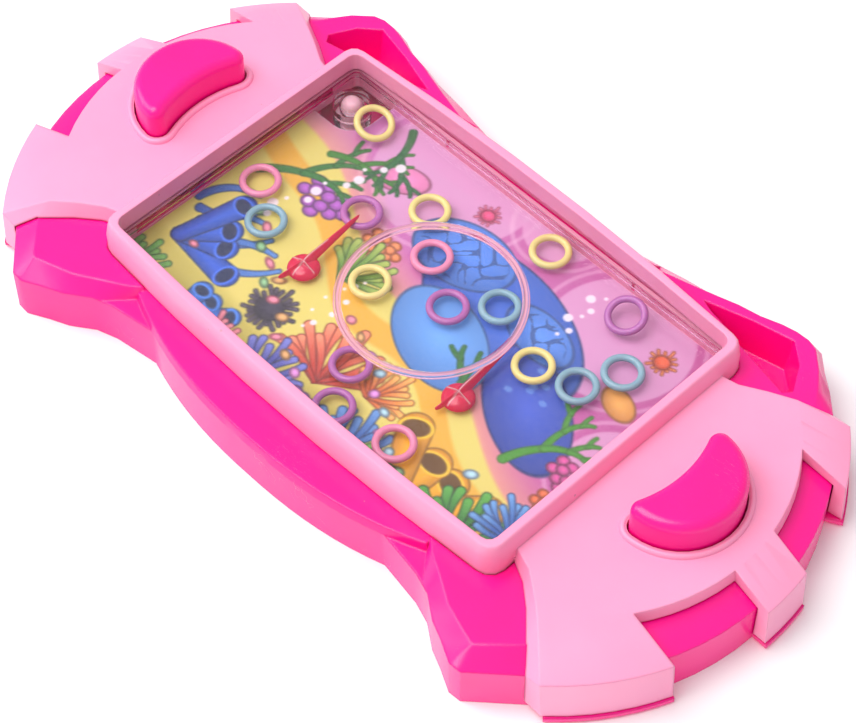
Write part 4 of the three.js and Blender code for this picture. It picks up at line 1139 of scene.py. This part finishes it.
        return [dress(made, finishes, Slot.CARD, finishes.ink), dress(card, finishes, Slot.CARD)]


# Sub-assemblies.


@dataclass
class Casing:
    """Base shell, back plate, top cover and the screws that hold them.

    Attributes:
        well: Half length, half width and top of the space round the tank.
        deck: Height above which that space's walls lie.
        painted_light_share: Share of the painted light that makes those walls paler.
    """

    well: Triple = (58.0, 37.6, 18.0)
    deck: float = 10.3
    painted_light_share: float = 0.55

    def build(self, finishes: Finishes) -> list[Piece]:
        """Dresses the mouldings and the screws.

        Args:
            finishes: The game's materials.

        Returns:
            The pieces made.
        """
        base = dressed_copy("base_shell", "base_moulding")
        self.paint_well_light(base)
        made = [
            dress(base, finishes, Slot.HOT),
            dress(dressed_copy("back_plate", "back_moulding"), finishes, Slot.HOT),
            dress(dressed_copy("top_cover", "cover_moulding"), finishes, Slot.LIGHT),
        ]
        for kind in ("cover", "plate"):
            for i in range(1, 5):
                made.append(self.screw(f"{kind}_screw_{i}", finishes))
        return made

    def paint_well_light(self, piece: Piece) -> None:
        """Paints light on the upright walls round the tank: a paler tone stands in for the light they catch
        through its clear sides.

        Args:
            piece: The base moulding, which gets the attribute.
        """
        faces = piece.data.polygons
        centre = np.abs(rows_of(faces, "center") / MM)
        inside = np.all((centre > (0, 0, self.deck)) & (centre < self.well), axis=1)
        upright = np.abs(rows_of(faces, "normal")[:, 2]) < 0.5
        # Painted light: a paler tone laid on those walls.
        mark(piece.data, "well", (inside & upright) * self.painted_light_share, "FACE")

    def screw(self, node: str, finishes: Finishes, steps: int = 48) -> Piece:
        """Pan head screw with a cross recess, its thread a wave along the shank.

        The head's lower face is sunk by the recess where the cross arms run: depth falls with the
        lesser of the distances to the two arms. The shank's radius is r + a cos(2 pi z / pitch).

        Args:
            node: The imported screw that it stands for.
            finishes: The game's materials.
            steps: Steps round.

        Returns:
            The piece.
        """
        low, high = (np.array(corner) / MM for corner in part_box(node))
        centre = (low + high) / 2
        radius, depth = (high[0] - low[0]) / 2, high[2] - low[2]
        mean, swing, pitch = 1.02, 0.16, 1.0
        arm_half, arm_reach, recess = 0.26, 1.35, 0.6
        angle = np.linspace(0, 2 * np.pi, steps, endpoint=False)
        head = [*((r, 0.0) for r in (0.0, 0.12, 0.25, 0.38, 0.5, 0.65)),
                (0.85, 0.06), (0.97, 0.22), (1.0, 0.45), (1.0, 1.0), (0.97, 1.1)]
        rows = [(r * radius, low[2] + h) for r, h in head]
        z = np.linspace(1.1, depth - 1.6, 90)
        rows += zip(mean + swing * np.cos(2 * np.pi * z / pitch), low[2] + z)
        rows += [(0.75, low[2] + depth - 0.9), (0.3, low[2] + depth - 0.1), (0.0, low[2] + depth)]
        profile = np.array(rows)
        r, h = profile[:, :1], profile[:, 1:2]
        x, y = r * np.cos(angle), r * np.sin(angle)
        arm = np.minimum(np.abs(x), np.abs(y))
        cross = np.clip((arm_half - arm) / 0.08, 0, 1) * np.clip((arm_reach - r) / 0.2, 0, 1)
        lift = np.where(h < low[2] + 0.03, recess * cross, 0)
        points = np.stack([centre[0] + x, centre[1] + y, h + lift], -1)
        made = put(f"{node}_steel", points.reshape(-1, 3), grid_faces(len(profile), steps), (), 40)
        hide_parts(node)
        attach(made, Body.CASE.value)
        return dress(made, finishes, Slot.STEEL)


@dataclass
class PumpButton:
    """Kidney shaped button over its bellows, seat and hose.

    Attributes:
        side: 1 for the right-hand end, -1 for the left-hand end.
        centre: Middle of the outer arc.
        radius: Radius of the outer arc.
        hollow_x: Middle of the hollow arc.
        hollow: Radius of the hollow arc.
        corner: Radius of the round ends.
        top: Height of the top.
        foot: Height of the flange's underside.
        flange: Reach and thickness of the flange.
        wall: Wall thickness.
        softness: Radius of the top edge.
        bead: Place outside the cap, half width and height of the bead round the cover's opening.
    """

    side: int
    centre: Pair = (70.2, 1.2)
    radius: float = 13.4
    hollow_x: float = 42.85
    hollow: float = 27.6
    corner: float = 2.4
    top: float = 25.5
    foot: float = 14.0
    flange: Pair = (1.3, 1.4)
    wall: float = 1.6
    softness: float = 2.2
    bead: Triple = (1.1, 0.72, 0.95)

    def outline(self, grow: float) -> Array:
        """Kidney outline grown evenly by a distance: two arcs joined by round ends.

        Args:
            grow: Distance outwards.

        Returns:
            Points anticlockwise, mirrored for the left-hand end.
        """
        outer, hollow, corner = self.radius + grow, self.hollow - grow, self.corner + grow
        apart = self.centre[0] - self.hollow_x
        from_outer, from_hollow = self.radius - self.corner, self.hollow + self.corner
        along = (from_hollow**2 - from_outer**2 + apart**2) / (2 * apart)
        up = math.sqrt(from_hollow**2 - along**2)
        tip = (self.hollow_x + along, self.centre[1] + up)
        low = (tip[0], self.centre[1] - up)
        start = math.atan2(up, tip[0] - self.centre[0])
        pinch = math.atan2(up, along)
        ring = np.concatenate([
            arc(self.centre, outer, -start, start, 40),
            arc(tip, corner, start, math.pi + pinch, 20)[1:],
            arc((self.hollow_x, self.centre[1]), hollow, pinch, -pinch, 24)[1:],
            arc(low, corner, math.pi - pinch, 2 * math.pi - start, 20)[1:-1],
        ])
        return ring * np.array([self.side, 1.0])

    def stack(self, rows: Sequence[Pair]) -> Array:
        """Outlines one above the other, each given by its growth and height."""
        return np.stack([at_height(self.outline(grow), z) for grow, z in rows])

    def build(self, finishes: Finishes) -> list[Piece]:
        """Builds the cap as one stack of rings, inside and out, and dresses the pump below it.

        The top edge is a quarter round: grow = s (cos a - 1), height = top - s + s sin a.

        Args:
            finishes: The game's materials.

        Returns:
            The pieces made.
        """
        end = "right" if self.side > 0 else "left"
        inner = self.top - self.wall
        reach, thick = self.flange
        rows = [(-self.wall - 0.6, inner - 0.7), (-self.wall, inner - 1.3), (-self.wall, self.foot),
                (reach, self.foot), (reach, self.foot + thick), (0.0, self.foot + thick)]
        rows += [(self.softness * (math.cos(a) - 1), self.top - self.softness + self.softness * math.sin(a))
                 for a in np.linspace(0, np.pi / 2, 10)]
        cap = loft(f"button_cap_{end}", self.stack(rows))
        even = cap.modifiers.new("even_normals", "WEIGHTED_NORMAL")
        even.keep_sharp = True
        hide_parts(f"button_{end}")
        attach(cap, f"button_{end}")
        made = [dress(cap, finishes, Slot.HOT), self.bellows(end, finishes), self.rim_bead(end, finishes)]
        for node, name, slot in (("pump_seat", "seat_moulding", Slot.SEAT),
                                 ("jet_hose", "hose_tube", Slot.RUBBER)):
            made.append(dress(dressed_copy(f"{node}_{end}", f"{name}_{end}", 50), finishes, slot))
        return made

    def rim_bead(self, end: str, finishes: Finishes, deck: float = 17.5) -> Piece:
        """Half-round bead over the cover's raised edge: grow = place + w cos a, height = deck + h sin a.

        Args:
            end: Name of the end.
            finishes: The game's materials.
            deck: Height of the cover's top.

        Returns:
            The piece.
        """
        place, half, high = self.bead
        root = deck - 0.5
        rows = [(place + half, root),
                *((place + half * math.cos(a), deck + high * math.sin(a))
                  for a in np.linspace(0, np.pi, 13)),
                (place - half, root)]
        rings = self.stack(rows)
        made = put(f"opening_bead_{end}", rings, grid_faces(*rings.shape[:2], loop=True), (), 40)
        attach(made, Body.CASE.value)
        return dress(made, finishes, Slot.LIGHT)

    def bellows(self, end: str, finishes: Finishes) -> Piece:
        """Bellows whose radius swings between two values: r = mean + swing cos(folds 2 pi t).

        Args:
            end: Name of the end.
            finishes: The game's materials.

        Returns:
            The piece.
        """
        low, high = (np.array(corner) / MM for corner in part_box(f"bellows_{end}"))
        mean, swing, folds = 5.45, 0.5, 3.5
        t = np.linspace(0, 1, 80)
        radius = mean + swing * np.cos(2 * np.pi * folds * t)
        height = low[2] + (high[2] - low[2]) * t
        body = np.stack([radius, height], -1)
        profile = np.concatenate([[[0.0, height[0]]], body, [[0.0, height[-1]]]])
        made = revolve(f"bellows_rubber_{end}", profile, tuple((low + high)[:2] / 2), 48)
        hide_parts(f"bellows_{end}")
        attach(made, Body.CASE.value)
        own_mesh(made)
        return dress(made, finishes, Slot.RUBBER)


@dataclass
class Tank:
    """Clear tray, seal and window with its round dish.

    Attributes:
        middle_y: Middle of the tank.
        half: Half sizes of the window plate at its corners.
        bow: Extra half width at the middle of the long sides.
        corner: Corner radius.
        bottom: Underside of the window.
        top: Top of the window.
        lens: Centre of the dish.
        lens_radius: Radius of the dish.
        sag: Depth of the dish.
        bead_high: Height of the beads at the dish's rim.
        bead_half: Half width of a bead.
        bead_apart: Distance between the two beads.
        reflection_reach: Where the painted pink reflection on the rim starts, is full and ends, from the
            middle of its beads.
    """

    middle_y: float = -0.6
    half: Pair = (56.0, 35.6)
    bow: float = 1.5
    corner: float = 2.2
    bottom: float = 15.6
    top: float = 17.0
    lens: Pair = (2.7, 0.7)
    lens_radius: float = 18.9
    sag: float = 1.2
    bead_high: float = 0.34
    bead_half: float = 0.42
    bead_apart: float = 1.0
    reflection_reach: tuple[float, ...] = (-0.5, -0.35, 0.35, 0.5)

    def outline(self, steps: int = 40) -> Array:
        """Rounded rectangle with bowed long sides: y = h + bow (1 - (x / reach)^2).

        Args:
            steps: Steps of each long side.

        Returns:
            Points anticlockwise.
        """
        reach, edge = self.half[0] - self.corner, self.half[1]
        x = np.linspace(reach, -reach, steps)
        y = edge + self.bow * (1 - (x / reach) ** 2)
        quarter = np.pi / 2
        signs = ((1, 1), (-1, 1), (-1, -1), (1, -1))
        corners = [arc((sx * reach, sy * (edge - self.corner)), self.corner, i * quarter,
                       i * quarter + quarter, 8) for i, (sx, sy) in enumerate(signs)]
        back, front = np.stack([x, y], -1)[1:-1], np.stack([-x, -y], -1)[1:-1]
        ring = np.concatenate([corners[0], back, corners[1], corners[2], front, corners[3]])
        return ring + np.array([0, self.middle_y])

    def window(self, finishes: Finishes) -> Piece:
        """Window plate on rays from the dish's middle to the outline.

        The dish is a cap of a sphere, z = -s (1 - (r / R)^2) to within a hair, with two fine round
        beads at its rim: b cos^2 of the distance from each. Beyond them the plate is flat.

        Args:
            finishes: The game's materials.

        Returns:
            The piece.
        """
        edge = self.outline() - np.array(self.lens)
        bearing = np.arctan2(edge[:, 1], edge[:, 0])
        order = np.argsort(bearing)
        angle = np.sort(np.concatenate([bearing, np.linspace(-np.pi, np.pi, 160, endpoint=False)]))
        reach = np.interp(angle, bearing[order], np.hypot(*edge.T)[order], period=2 * np.pi)
        coarse, fine, brink = np.linspace(0, 0.93, 14), np.linspace(0.95, 1.09, 32), 0.985
        inner = np.concatenate([coarse, fine])[:, None] * self.lens_radius
        radius = np.concatenate([np.repeat(inner, len(angle), 1), reach[None] * brink, reach[None]])
        dip = np.where(radius < self.lens_radius, -self.sag * (1 - (radius / self.lens_radius) ** 2), 0.0)
        bead = 0.0
        for shift in (0.0, self.bead_apart):
            away = np.abs(radius - self.lens_radius - shift) / self.bead_half
            bead = bead + np.where(away < 1, self.bead_high * np.cos(away * np.pi / 2) ** 2, 0.0)
        x = self.lens[0] + radius * np.cos(angle)
        y = self.lens[1] + radius * np.sin(angle)
        upper = np.stack([x, y, self.top + dip + bead], -1)
        lower = np.stack([x, y, self.bottom + dip], -1)
        rings = np.concatenate([lower, upper[::-1]])
        made = put("window_plate", rings.reshape(-1, 3), grid_faces(len(rings), len(angle)), (), 30)
        # Painted reflection: the rim's pink is laid on near the beads.
        away = np.hypot(*(rows_of(made.data.vertices, "co")[:, :2] / MM - self.lens).T)
        beyond = away - self.lens_radius - self.bead_apart / 2
        mark(made.data, "rim", np.interp(beyond, self.reflection_reach, (0, 1, 1, 0)))
        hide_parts("tank_window")
        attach(made, Body.CASE.value)
        return dress(made, finishes, Slot.CLEAR, finishes.window)

    def build(self, finishes: Finishes) -> list[Piece]:
        """Builds the window and dresses the tray and seal.

        Args:
            finishes: The game's materials.

        Returns:
            The pieces made.
        """
        return [
            self.window(finishes),
            dress(dressed_copy("tank_tray", "tray_moulding"), finishes, Slot.CLEAR),
            dress(dressed_copy("tank_seal", "seal_strip"), finishes, Slot.SEAL),
        ]


@dataclass
class RingPin:
    """Ring pin: dome foot with cross ribs and a long spike.

    Attributes:
        name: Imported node.
        dome: Centre of the dome.
        tip: End of the spike.
        tail: End of the short tail.
        foot: Height of the underside.
        crown: Rise of the ribs' meeting above the underside.
        rib_reach: Length of a cross rib.
        bowl: Radius and rise of the dome.
        voxel: Cell size of the joined skin.
    """

    name: str
    dome: Pair
    tip: Pair
    tail: Pair
    foot: float = 11.7
    crown: float = 3.1
    rib_reach: float = 3.5
    bowl: Pair = (3.55, 1.9)
    voxel: float = 0.11

    def blade(self, start: Array, end: Array, steps: int = 24, around: int = 20) -> tuple[Array, Array]:
        """Tapered rod between two stations of place, half width, underside and top.

        Its section is a superellipse, half |cos a|^0.8 wide, drawn in toward the top like a tent.

        Args:
            start: x, y, half width, underside and top at the start.
            end: The same at the end.
            steps: Stations along the rod.
            around: Points round the section.

        Returns:
            Points and quads, closed at both ends by small rings.
        """
        t = np.linspace(0, 1, steps)[:, None]
        angle = np.linspace(0, 2 * np.pi, around, endpoint=False)[None]
        station = np.array(start, float) * (1 - t) + np.array(end, float) * t
        run = np.array(end[:2]) - np.array(start[:2])
        side = np.array([-run[1], run[0]]) / np.hypot(*run)
        cap = np.sqrt(np.clip(1 - (2 * t - 1) ** 10, 0.0, 1))
        c, s = np.cos(angle), np.sin(angle)
        wide = np.sign(c) * np.abs(c) ** 0.8 * station[:, 2:3] * cap * (1.0 - 0.42 * (s + 1))
        tall = np.sign(s) * np.abs(s) ** 0.9 * (station[:, 4:5] - station[:, 3:4]) / 2 * cap
        z = (station[:, 3:4] + station[:, 4:5]) / 2 + tall
        points = np.stack([station[:, :1] + side[0] * wide, station[:, 1:2] + side[1] * wide, z], -1)
        return points.reshape(-1, 3), grid_faces(steps, around)

    def build(self, finishes: Finishes) -> list[Piece]:
        """Joins dome, spike, tail and ribs into one skin and smooths it.

        Args:
            finishes: The game's materials.

        Returns:
            The piece made.
        """
        dome, tip, tail = (np.array(p) for p in (self.dome, self.tip, self.tail))
        foot, crown = self.foot, self.foot + self.crown
        run = (tip - dome) / np.hypot(*(tip - dome))
        side = np.array([run[1], -run[0]])
        parts = [
            self.blade([*tail, 0.6, foot + 0.02, foot + 0.9], [*dome, 0.9, foot + 0.02, crown]),
            self.blade([*(dome - 0.4 * run), 1.7, foot + 0.3, crown],
                       [*tip, 0.55, foot + 2.05, foot + 2.95]),
            *(self.blade([*(dome + sign * self.rib_reach * side), 0.55, foot + 0.05, foot + 1.0],
                         [*dome, 0.8, foot + 0.05, crown], 16) for sign in (1, -1)),
        ]
        angle = np.linspace(0, 2 * np.pi, 48, endpoint=False)
        share = np.linspace(0, np.pi / 2, 16)[:, None]
        radius = np.concatenate([[[0.0]], self.bowl[0] * np.cos(share) ** 0.9])
        height = np.concatenate([[[0.02]], 0.02 + self.bowl[1] * np.sin(share)])
        skin = np.stack([dome[0] + radius * np.cos(angle), dome[1] + radius * np.sin(angle),
                         foot + height + 0 * angle], -1).reshape(-1, 3)
        parts.append((skin, grid_faces(len(radius), len(angle))))
        starts = np.cumsum([0] + [len(p) for p, _ in parts[:-1]])
        points = np.concatenate([p for p, _ in parts])
        quads = np.concatenate([q + s for (_, q), s in zip(parts, starts)])
        made = put(f"{self.name}_moulding", points, quads, (), 60)
        joined = made.modifiers.new("one_skin", "REMESH")
        joined.mode = "VOXEL"
        joined.voxel_size = self.voxel * MM
        soften = made.modifiers.new("soften", "SMOOTH")
        soften.iterations = 2
        apply_modifiers(made)
        made.data.shade_smooth()
        # Painted highlight: pale lines along the rib tops.
        self.paint_crest_highlights(made.data, dome, run, side)
        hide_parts(self.name)
        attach(made, Body.CASE.value)
        return [dress(made, finishes, Slot.PIN)]

    def paint_crest_highlights(self, mesh: bpy.types.Mesh, dome: Array, run: Array, side: Array) -> None:
        """Paints highlights on the rib tops: exp(-(d / w)^2) of the distance in plan to the nearer rib's
        middle line.

        Args:
            mesh: The pin's mesh, in metres.
            dome: Centre of the dome.
            run: Direction of the spike.
            side: Direction of the cross rib.
        """
        place = rows_of(mesh.vertices, "co") / MM
        along, across = ((place[:, :2] - dome) @ axis for axis in (run, side))
        width, keel_end, rib_end, lift, painted_light_share = 0.16, 7.5, 3.2, 0.75, 0.8
        keel = np.exp(-(across / width) ** 2) * (along < keel_end)
        rib = np.exp(-(along / width) ** 2) * (np.abs(across) < rib_end)
        high = place[:, 2] > self.foot + lift
        # Painted highlight: pale lines along the rib tops, for the pin's material.
        mark(mesh, "painted_light", painted_light_share * np.maximum(keel, rib) * high)


def apply_modifiers(piece: Piece) -> None:
    """Makes a piece's modifiers part of its mesh."""
    bpy.context.view_layer.update()
    graph = bpy.context.evaluated_depsgraph_get()
    mesh = bpy.data.meshes.new_from_object(piece.evaluated_get(graph))
    piece.modifiers.clear()
    piece.data = mesh


@dataclass
class LooseRing:
    """Ring that floats in the tank.

    Attributes:
        name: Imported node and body.
        slot: Colour slot.
        lean: Tilt in degrees.
        toward: Direction of the lean in degrees.
        mean: Radius of the ring's middle line.
        thick: Radius of its section.
    """

    name: str
    slot: Slot
    lean: float = 0.0
    toward: float = 0.0
    mean: float = 3.83
    thick: float = 0.79

    def build(self, finishes: Finishes) -> list[Piece]:
        """Torus with a faint parting ridge: section radius = thick (1 - 0.02 + 0.02 cos^8 v).

        Args:
            finishes: The game's materials.

        Returns:
            The piece made.
        """
        low, high = (np.array(corner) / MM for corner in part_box(self.name))
        centre = (low + high) / 2
        rows, around = 72, 20
        u = np.linspace(0, 2 * np.pi, rows, endpoint=False)[:, None]
        v = np.linspace(0, 2 * np.pi, around, endpoint=False)[None]
        section = self.thick * (0.98 + 0.02 * np.cos(v) ** 8)
        reach = self.mean + section * np.cos(v)
        points = np.stack([reach * np.cos(u), reach * np.sin(u), section * np.sin(v) + 0 * u], -1)
        axis = (math.sin(math.radians(self.toward)), -math.cos(math.radians(self.toward)), 0)
        turn = np.array(Matrix.Rotation(math.radians(self.lean), 3, Vector(axis)))
        points = points.reshape(-1, 3) @ turn.T + centre
        made = put(f"{self.name}_loop", points, grid_faces(rows, around, loop=True), (), 60)
        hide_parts(self.name)
        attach(made, self.name)
        return [dress(made, finishes, self.slot)]


@dataclass
class FillerPlug:
    """Soft plug in the back left corner of the tank.

    Attributes:
        centre: Place of its axis.
    """

    centre: Pair = (-50.0, 27.8)

    def build(self, finishes: Finishes) -> list[Piece]:
        """Turned plug with a grip knob, flange, shank and round nose.

        Args:
            finishes: The game's materials.

        Returns:
            The piece made.
        """
        low, high = (np.array(corner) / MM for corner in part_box("filler_plug"))
        foot, top = low[2], high[2]
        profile = rounded([
            (0, foot, 0), (1.9, foot, 0.35), (1.75, foot + 0.9, 0.4), (1.9, foot + 1.4, 0.2),
            (3.88, foot + 1.4, 0.35), (3.88, foot + 2.8, 0.35), (2.42, foot + 2.8, 0.2),
            (2.42, top - 1.5, 1.2), (1.5, top - 0.2, 1.0), (0, top, 0),
        ], 6)
        made = revolve("plug_moulding", profile, self.centre, 56)
        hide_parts("filler_plug")
        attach(made, Body.PLUG.value)
        return [dress(made, finishes, Slot.PLUG)]


# Studio.


@dataclass
class Studio:
    """Floor, lamps, world and camera.

    Attributes:
        azimuth: Camera's direction round the object in degrees.
        elevation: Camera's height in degrees.
        roll: Camera's roll in degrees.
        place: Camera's place.
        lens: Focal length for a 36 mm wide sensor.
        sky: Linear colour of the even light.
        sky_strength: Its strength.
        lamps: Name, place and side in metres, and power in watts of each lamp.
        floor: Half side and height of the floor, which lies a hair under the object.
    """

    azimuth: float = 45.59
    elevation: float = 53.64
    roll: float = 0.16
    place: Triple = (231.1, -224.0, 430.4)
    lens: float = 107.5
    sky: Rgba = (0.98, 0.985, 1.0, 1)
    sky_strength: float = 0.62
    lamps: tuple[tuple[str, Triple, float, float], ...] = (
        ("overhead", (-0.25, -0.35, 1.1), 0.9, 12.4),
        ("left_fill", (-1.1, -0.5, 0.7), 0.7, 4.5),
        ("under_fill", (0.2, -0.3, -1.1), 0.9, 6.0),
    )
    floor: Pair = (3000.0, -0.05)

    def camera(self) -> None:
        """Sets the camera: its back axis points at azimuth and elevation, turned by the roll."""
        a, e, r = (math.radians(v) for v in (self.azimuth, self.elevation, self.roll))
        back = Vector((math.sin(a) * math.cos(e), -math.cos(a) * math.cos(e), math.sin(e)))
        level = Vector((math.cos(a), math.sin(a), 0))
        rise = back.cross(level)
        right = math.cos(r) * level + math.sin(r) * rise
        up = -math.sin(r) * level + math.cos(r) * rise
        data = bpy.data.cameras.new("camera")
        data.lens, data.sensor_width = self.lens, 36
        data.clip_start, data.clip_end = 0.01, 20
        camera = add_object("camera", data)
        turned = Matrix((right, up, back)).transposed().to_4x4()
        turned.translation = Vector(self.place) * MM
        camera.matrix_world = turned
        bpy.context.scene.camera = camera

    def lamp(self, name: str, place: Triple, size: float, power: float) -> None:
        """Adds a square lamp that faces the object.

        Args:
            name: Name of the lamp.
            place: Its place in metres.
            size: Its side in metres.
            power: Its power in watts.
        """
        data = bpy.data.lights.new(name, "AREA")
        data.size, data.energy = size, power
        lamp = add_object(name, data)
        lamp.location = place
        lamp.rotation_euler = (-Vector(place)).to_track_quat("-Z", "Y").to_euler()

    def light_world(self) -> None:
        """Lights the scene evenly and shows plain white to sight rays that miss the object."""
        world = bpy.data.worlds.new("studio")
        world.use_nodes = True
        bpy.context.scene.world = world
        tree = world.node_tree
        back = tree.nodes["Background"]
        back.inputs["Color"].default_value = self.sky
        back.inputs["Strength"].default_value = self.sky_strength
        white = add_node(tree, "ShaderNodeBackground", Color=(1, 1, 1, 1))
        way = add_node(tree, "ShaderNodeLightPath")
        shown = mix_shaders(tree, way.outputs["Is Camera Ray"], back.outputs[0], white.outputs[0])
        tree.links.new(shown, tree.nodes["World Output"].inputs["Surface"])

    def lay_floor(self) -> None:
        """Lays the pale floor, open to the lamp below it and to sight from below."""
        half, height = self.floor
        corners = [(x * half, y * half, height) for x, y in ((-1, -1), (1, -1), (1, 1), (-1, 1))]
        floor = put("studio_floor", np.array(corners), np.array([[0, 1, 2, 3]]))
        material, tree, shader = new_material("pale_floor")
        shader.inputs["Base Color"].default_value = (0.9, 0.9, 0.9, 1)
        shader.inputs["Roughness"].default_value = 0.8
        way = add_node(tree, "ShaderNodeLightPath")
        side = add_node(tree, "ShaderNodeNewGeometry")
        open_to(tree, shader.outputs[0], (way.outputs["Is Shadow Ray"], side.outputs["Backfacing"]))
        floor.data.materials.append(material)

    def build(self) -> None:
        """Builds the studio."""
        bpy.context.scene.view_settings.view_transform = "Standard"
        self.light_world()
        for lamp in self.lamps:
            self.lamp(*lamp)
        self.lay_floor()
        self.camera()


RINGS = (
    *(LooseRing(f"ring_yellow_{i}", Slot.YELLOW) for i in range(1, 5)),
    LooseRing("ring_yellow_5", Slot.YELLOW, 15.5, 180),
    *(LooseRing(f"ring_pink_{i}", Slot.PINK) for i in range(1, 4)),
    *(LooseRing(f"ring_purple_{i}", Slot.PURPLE) for i in (1, 2, 4, 5)),
    LooseRing("ring_purple_3", Slot.PURPLE, 15.5, 90),
    *(LooseRing(f"ring_blue_{i}", Slot.BLUE) for i in range(1, 5)),
)


def main() -> None:
    """Builds the studio and every sub-assembly in order, and reports each piece."""
    logging.basicConfig(level=logging.INFO, format="%(name)s: %(message)s")
    Studio().build()
    finishes = Finishes.build()
    assemblies = (
        Casing(), PumpButton(1), PumpButton(-1), SeaBedPrint(), Tank(),
        RingPin("pin_left", (-24.2, -10.3), (-25.1, 6.8), (-25.9, -16.0)),
        RingPin("pin_right", (22.0, -10.6), (20.9, 6.6), (20.8, -16.1)),
        *RINGS, FillerPlug(),
    )
    for assembly in assemblies:
        for piece in assembly.build(finishes):
            LOG.info("%s: %s, %d faces", type(assembly).__name__, piece.name, len(piece.data.polygons))
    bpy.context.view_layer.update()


if __name__ == "__main__":
    main()
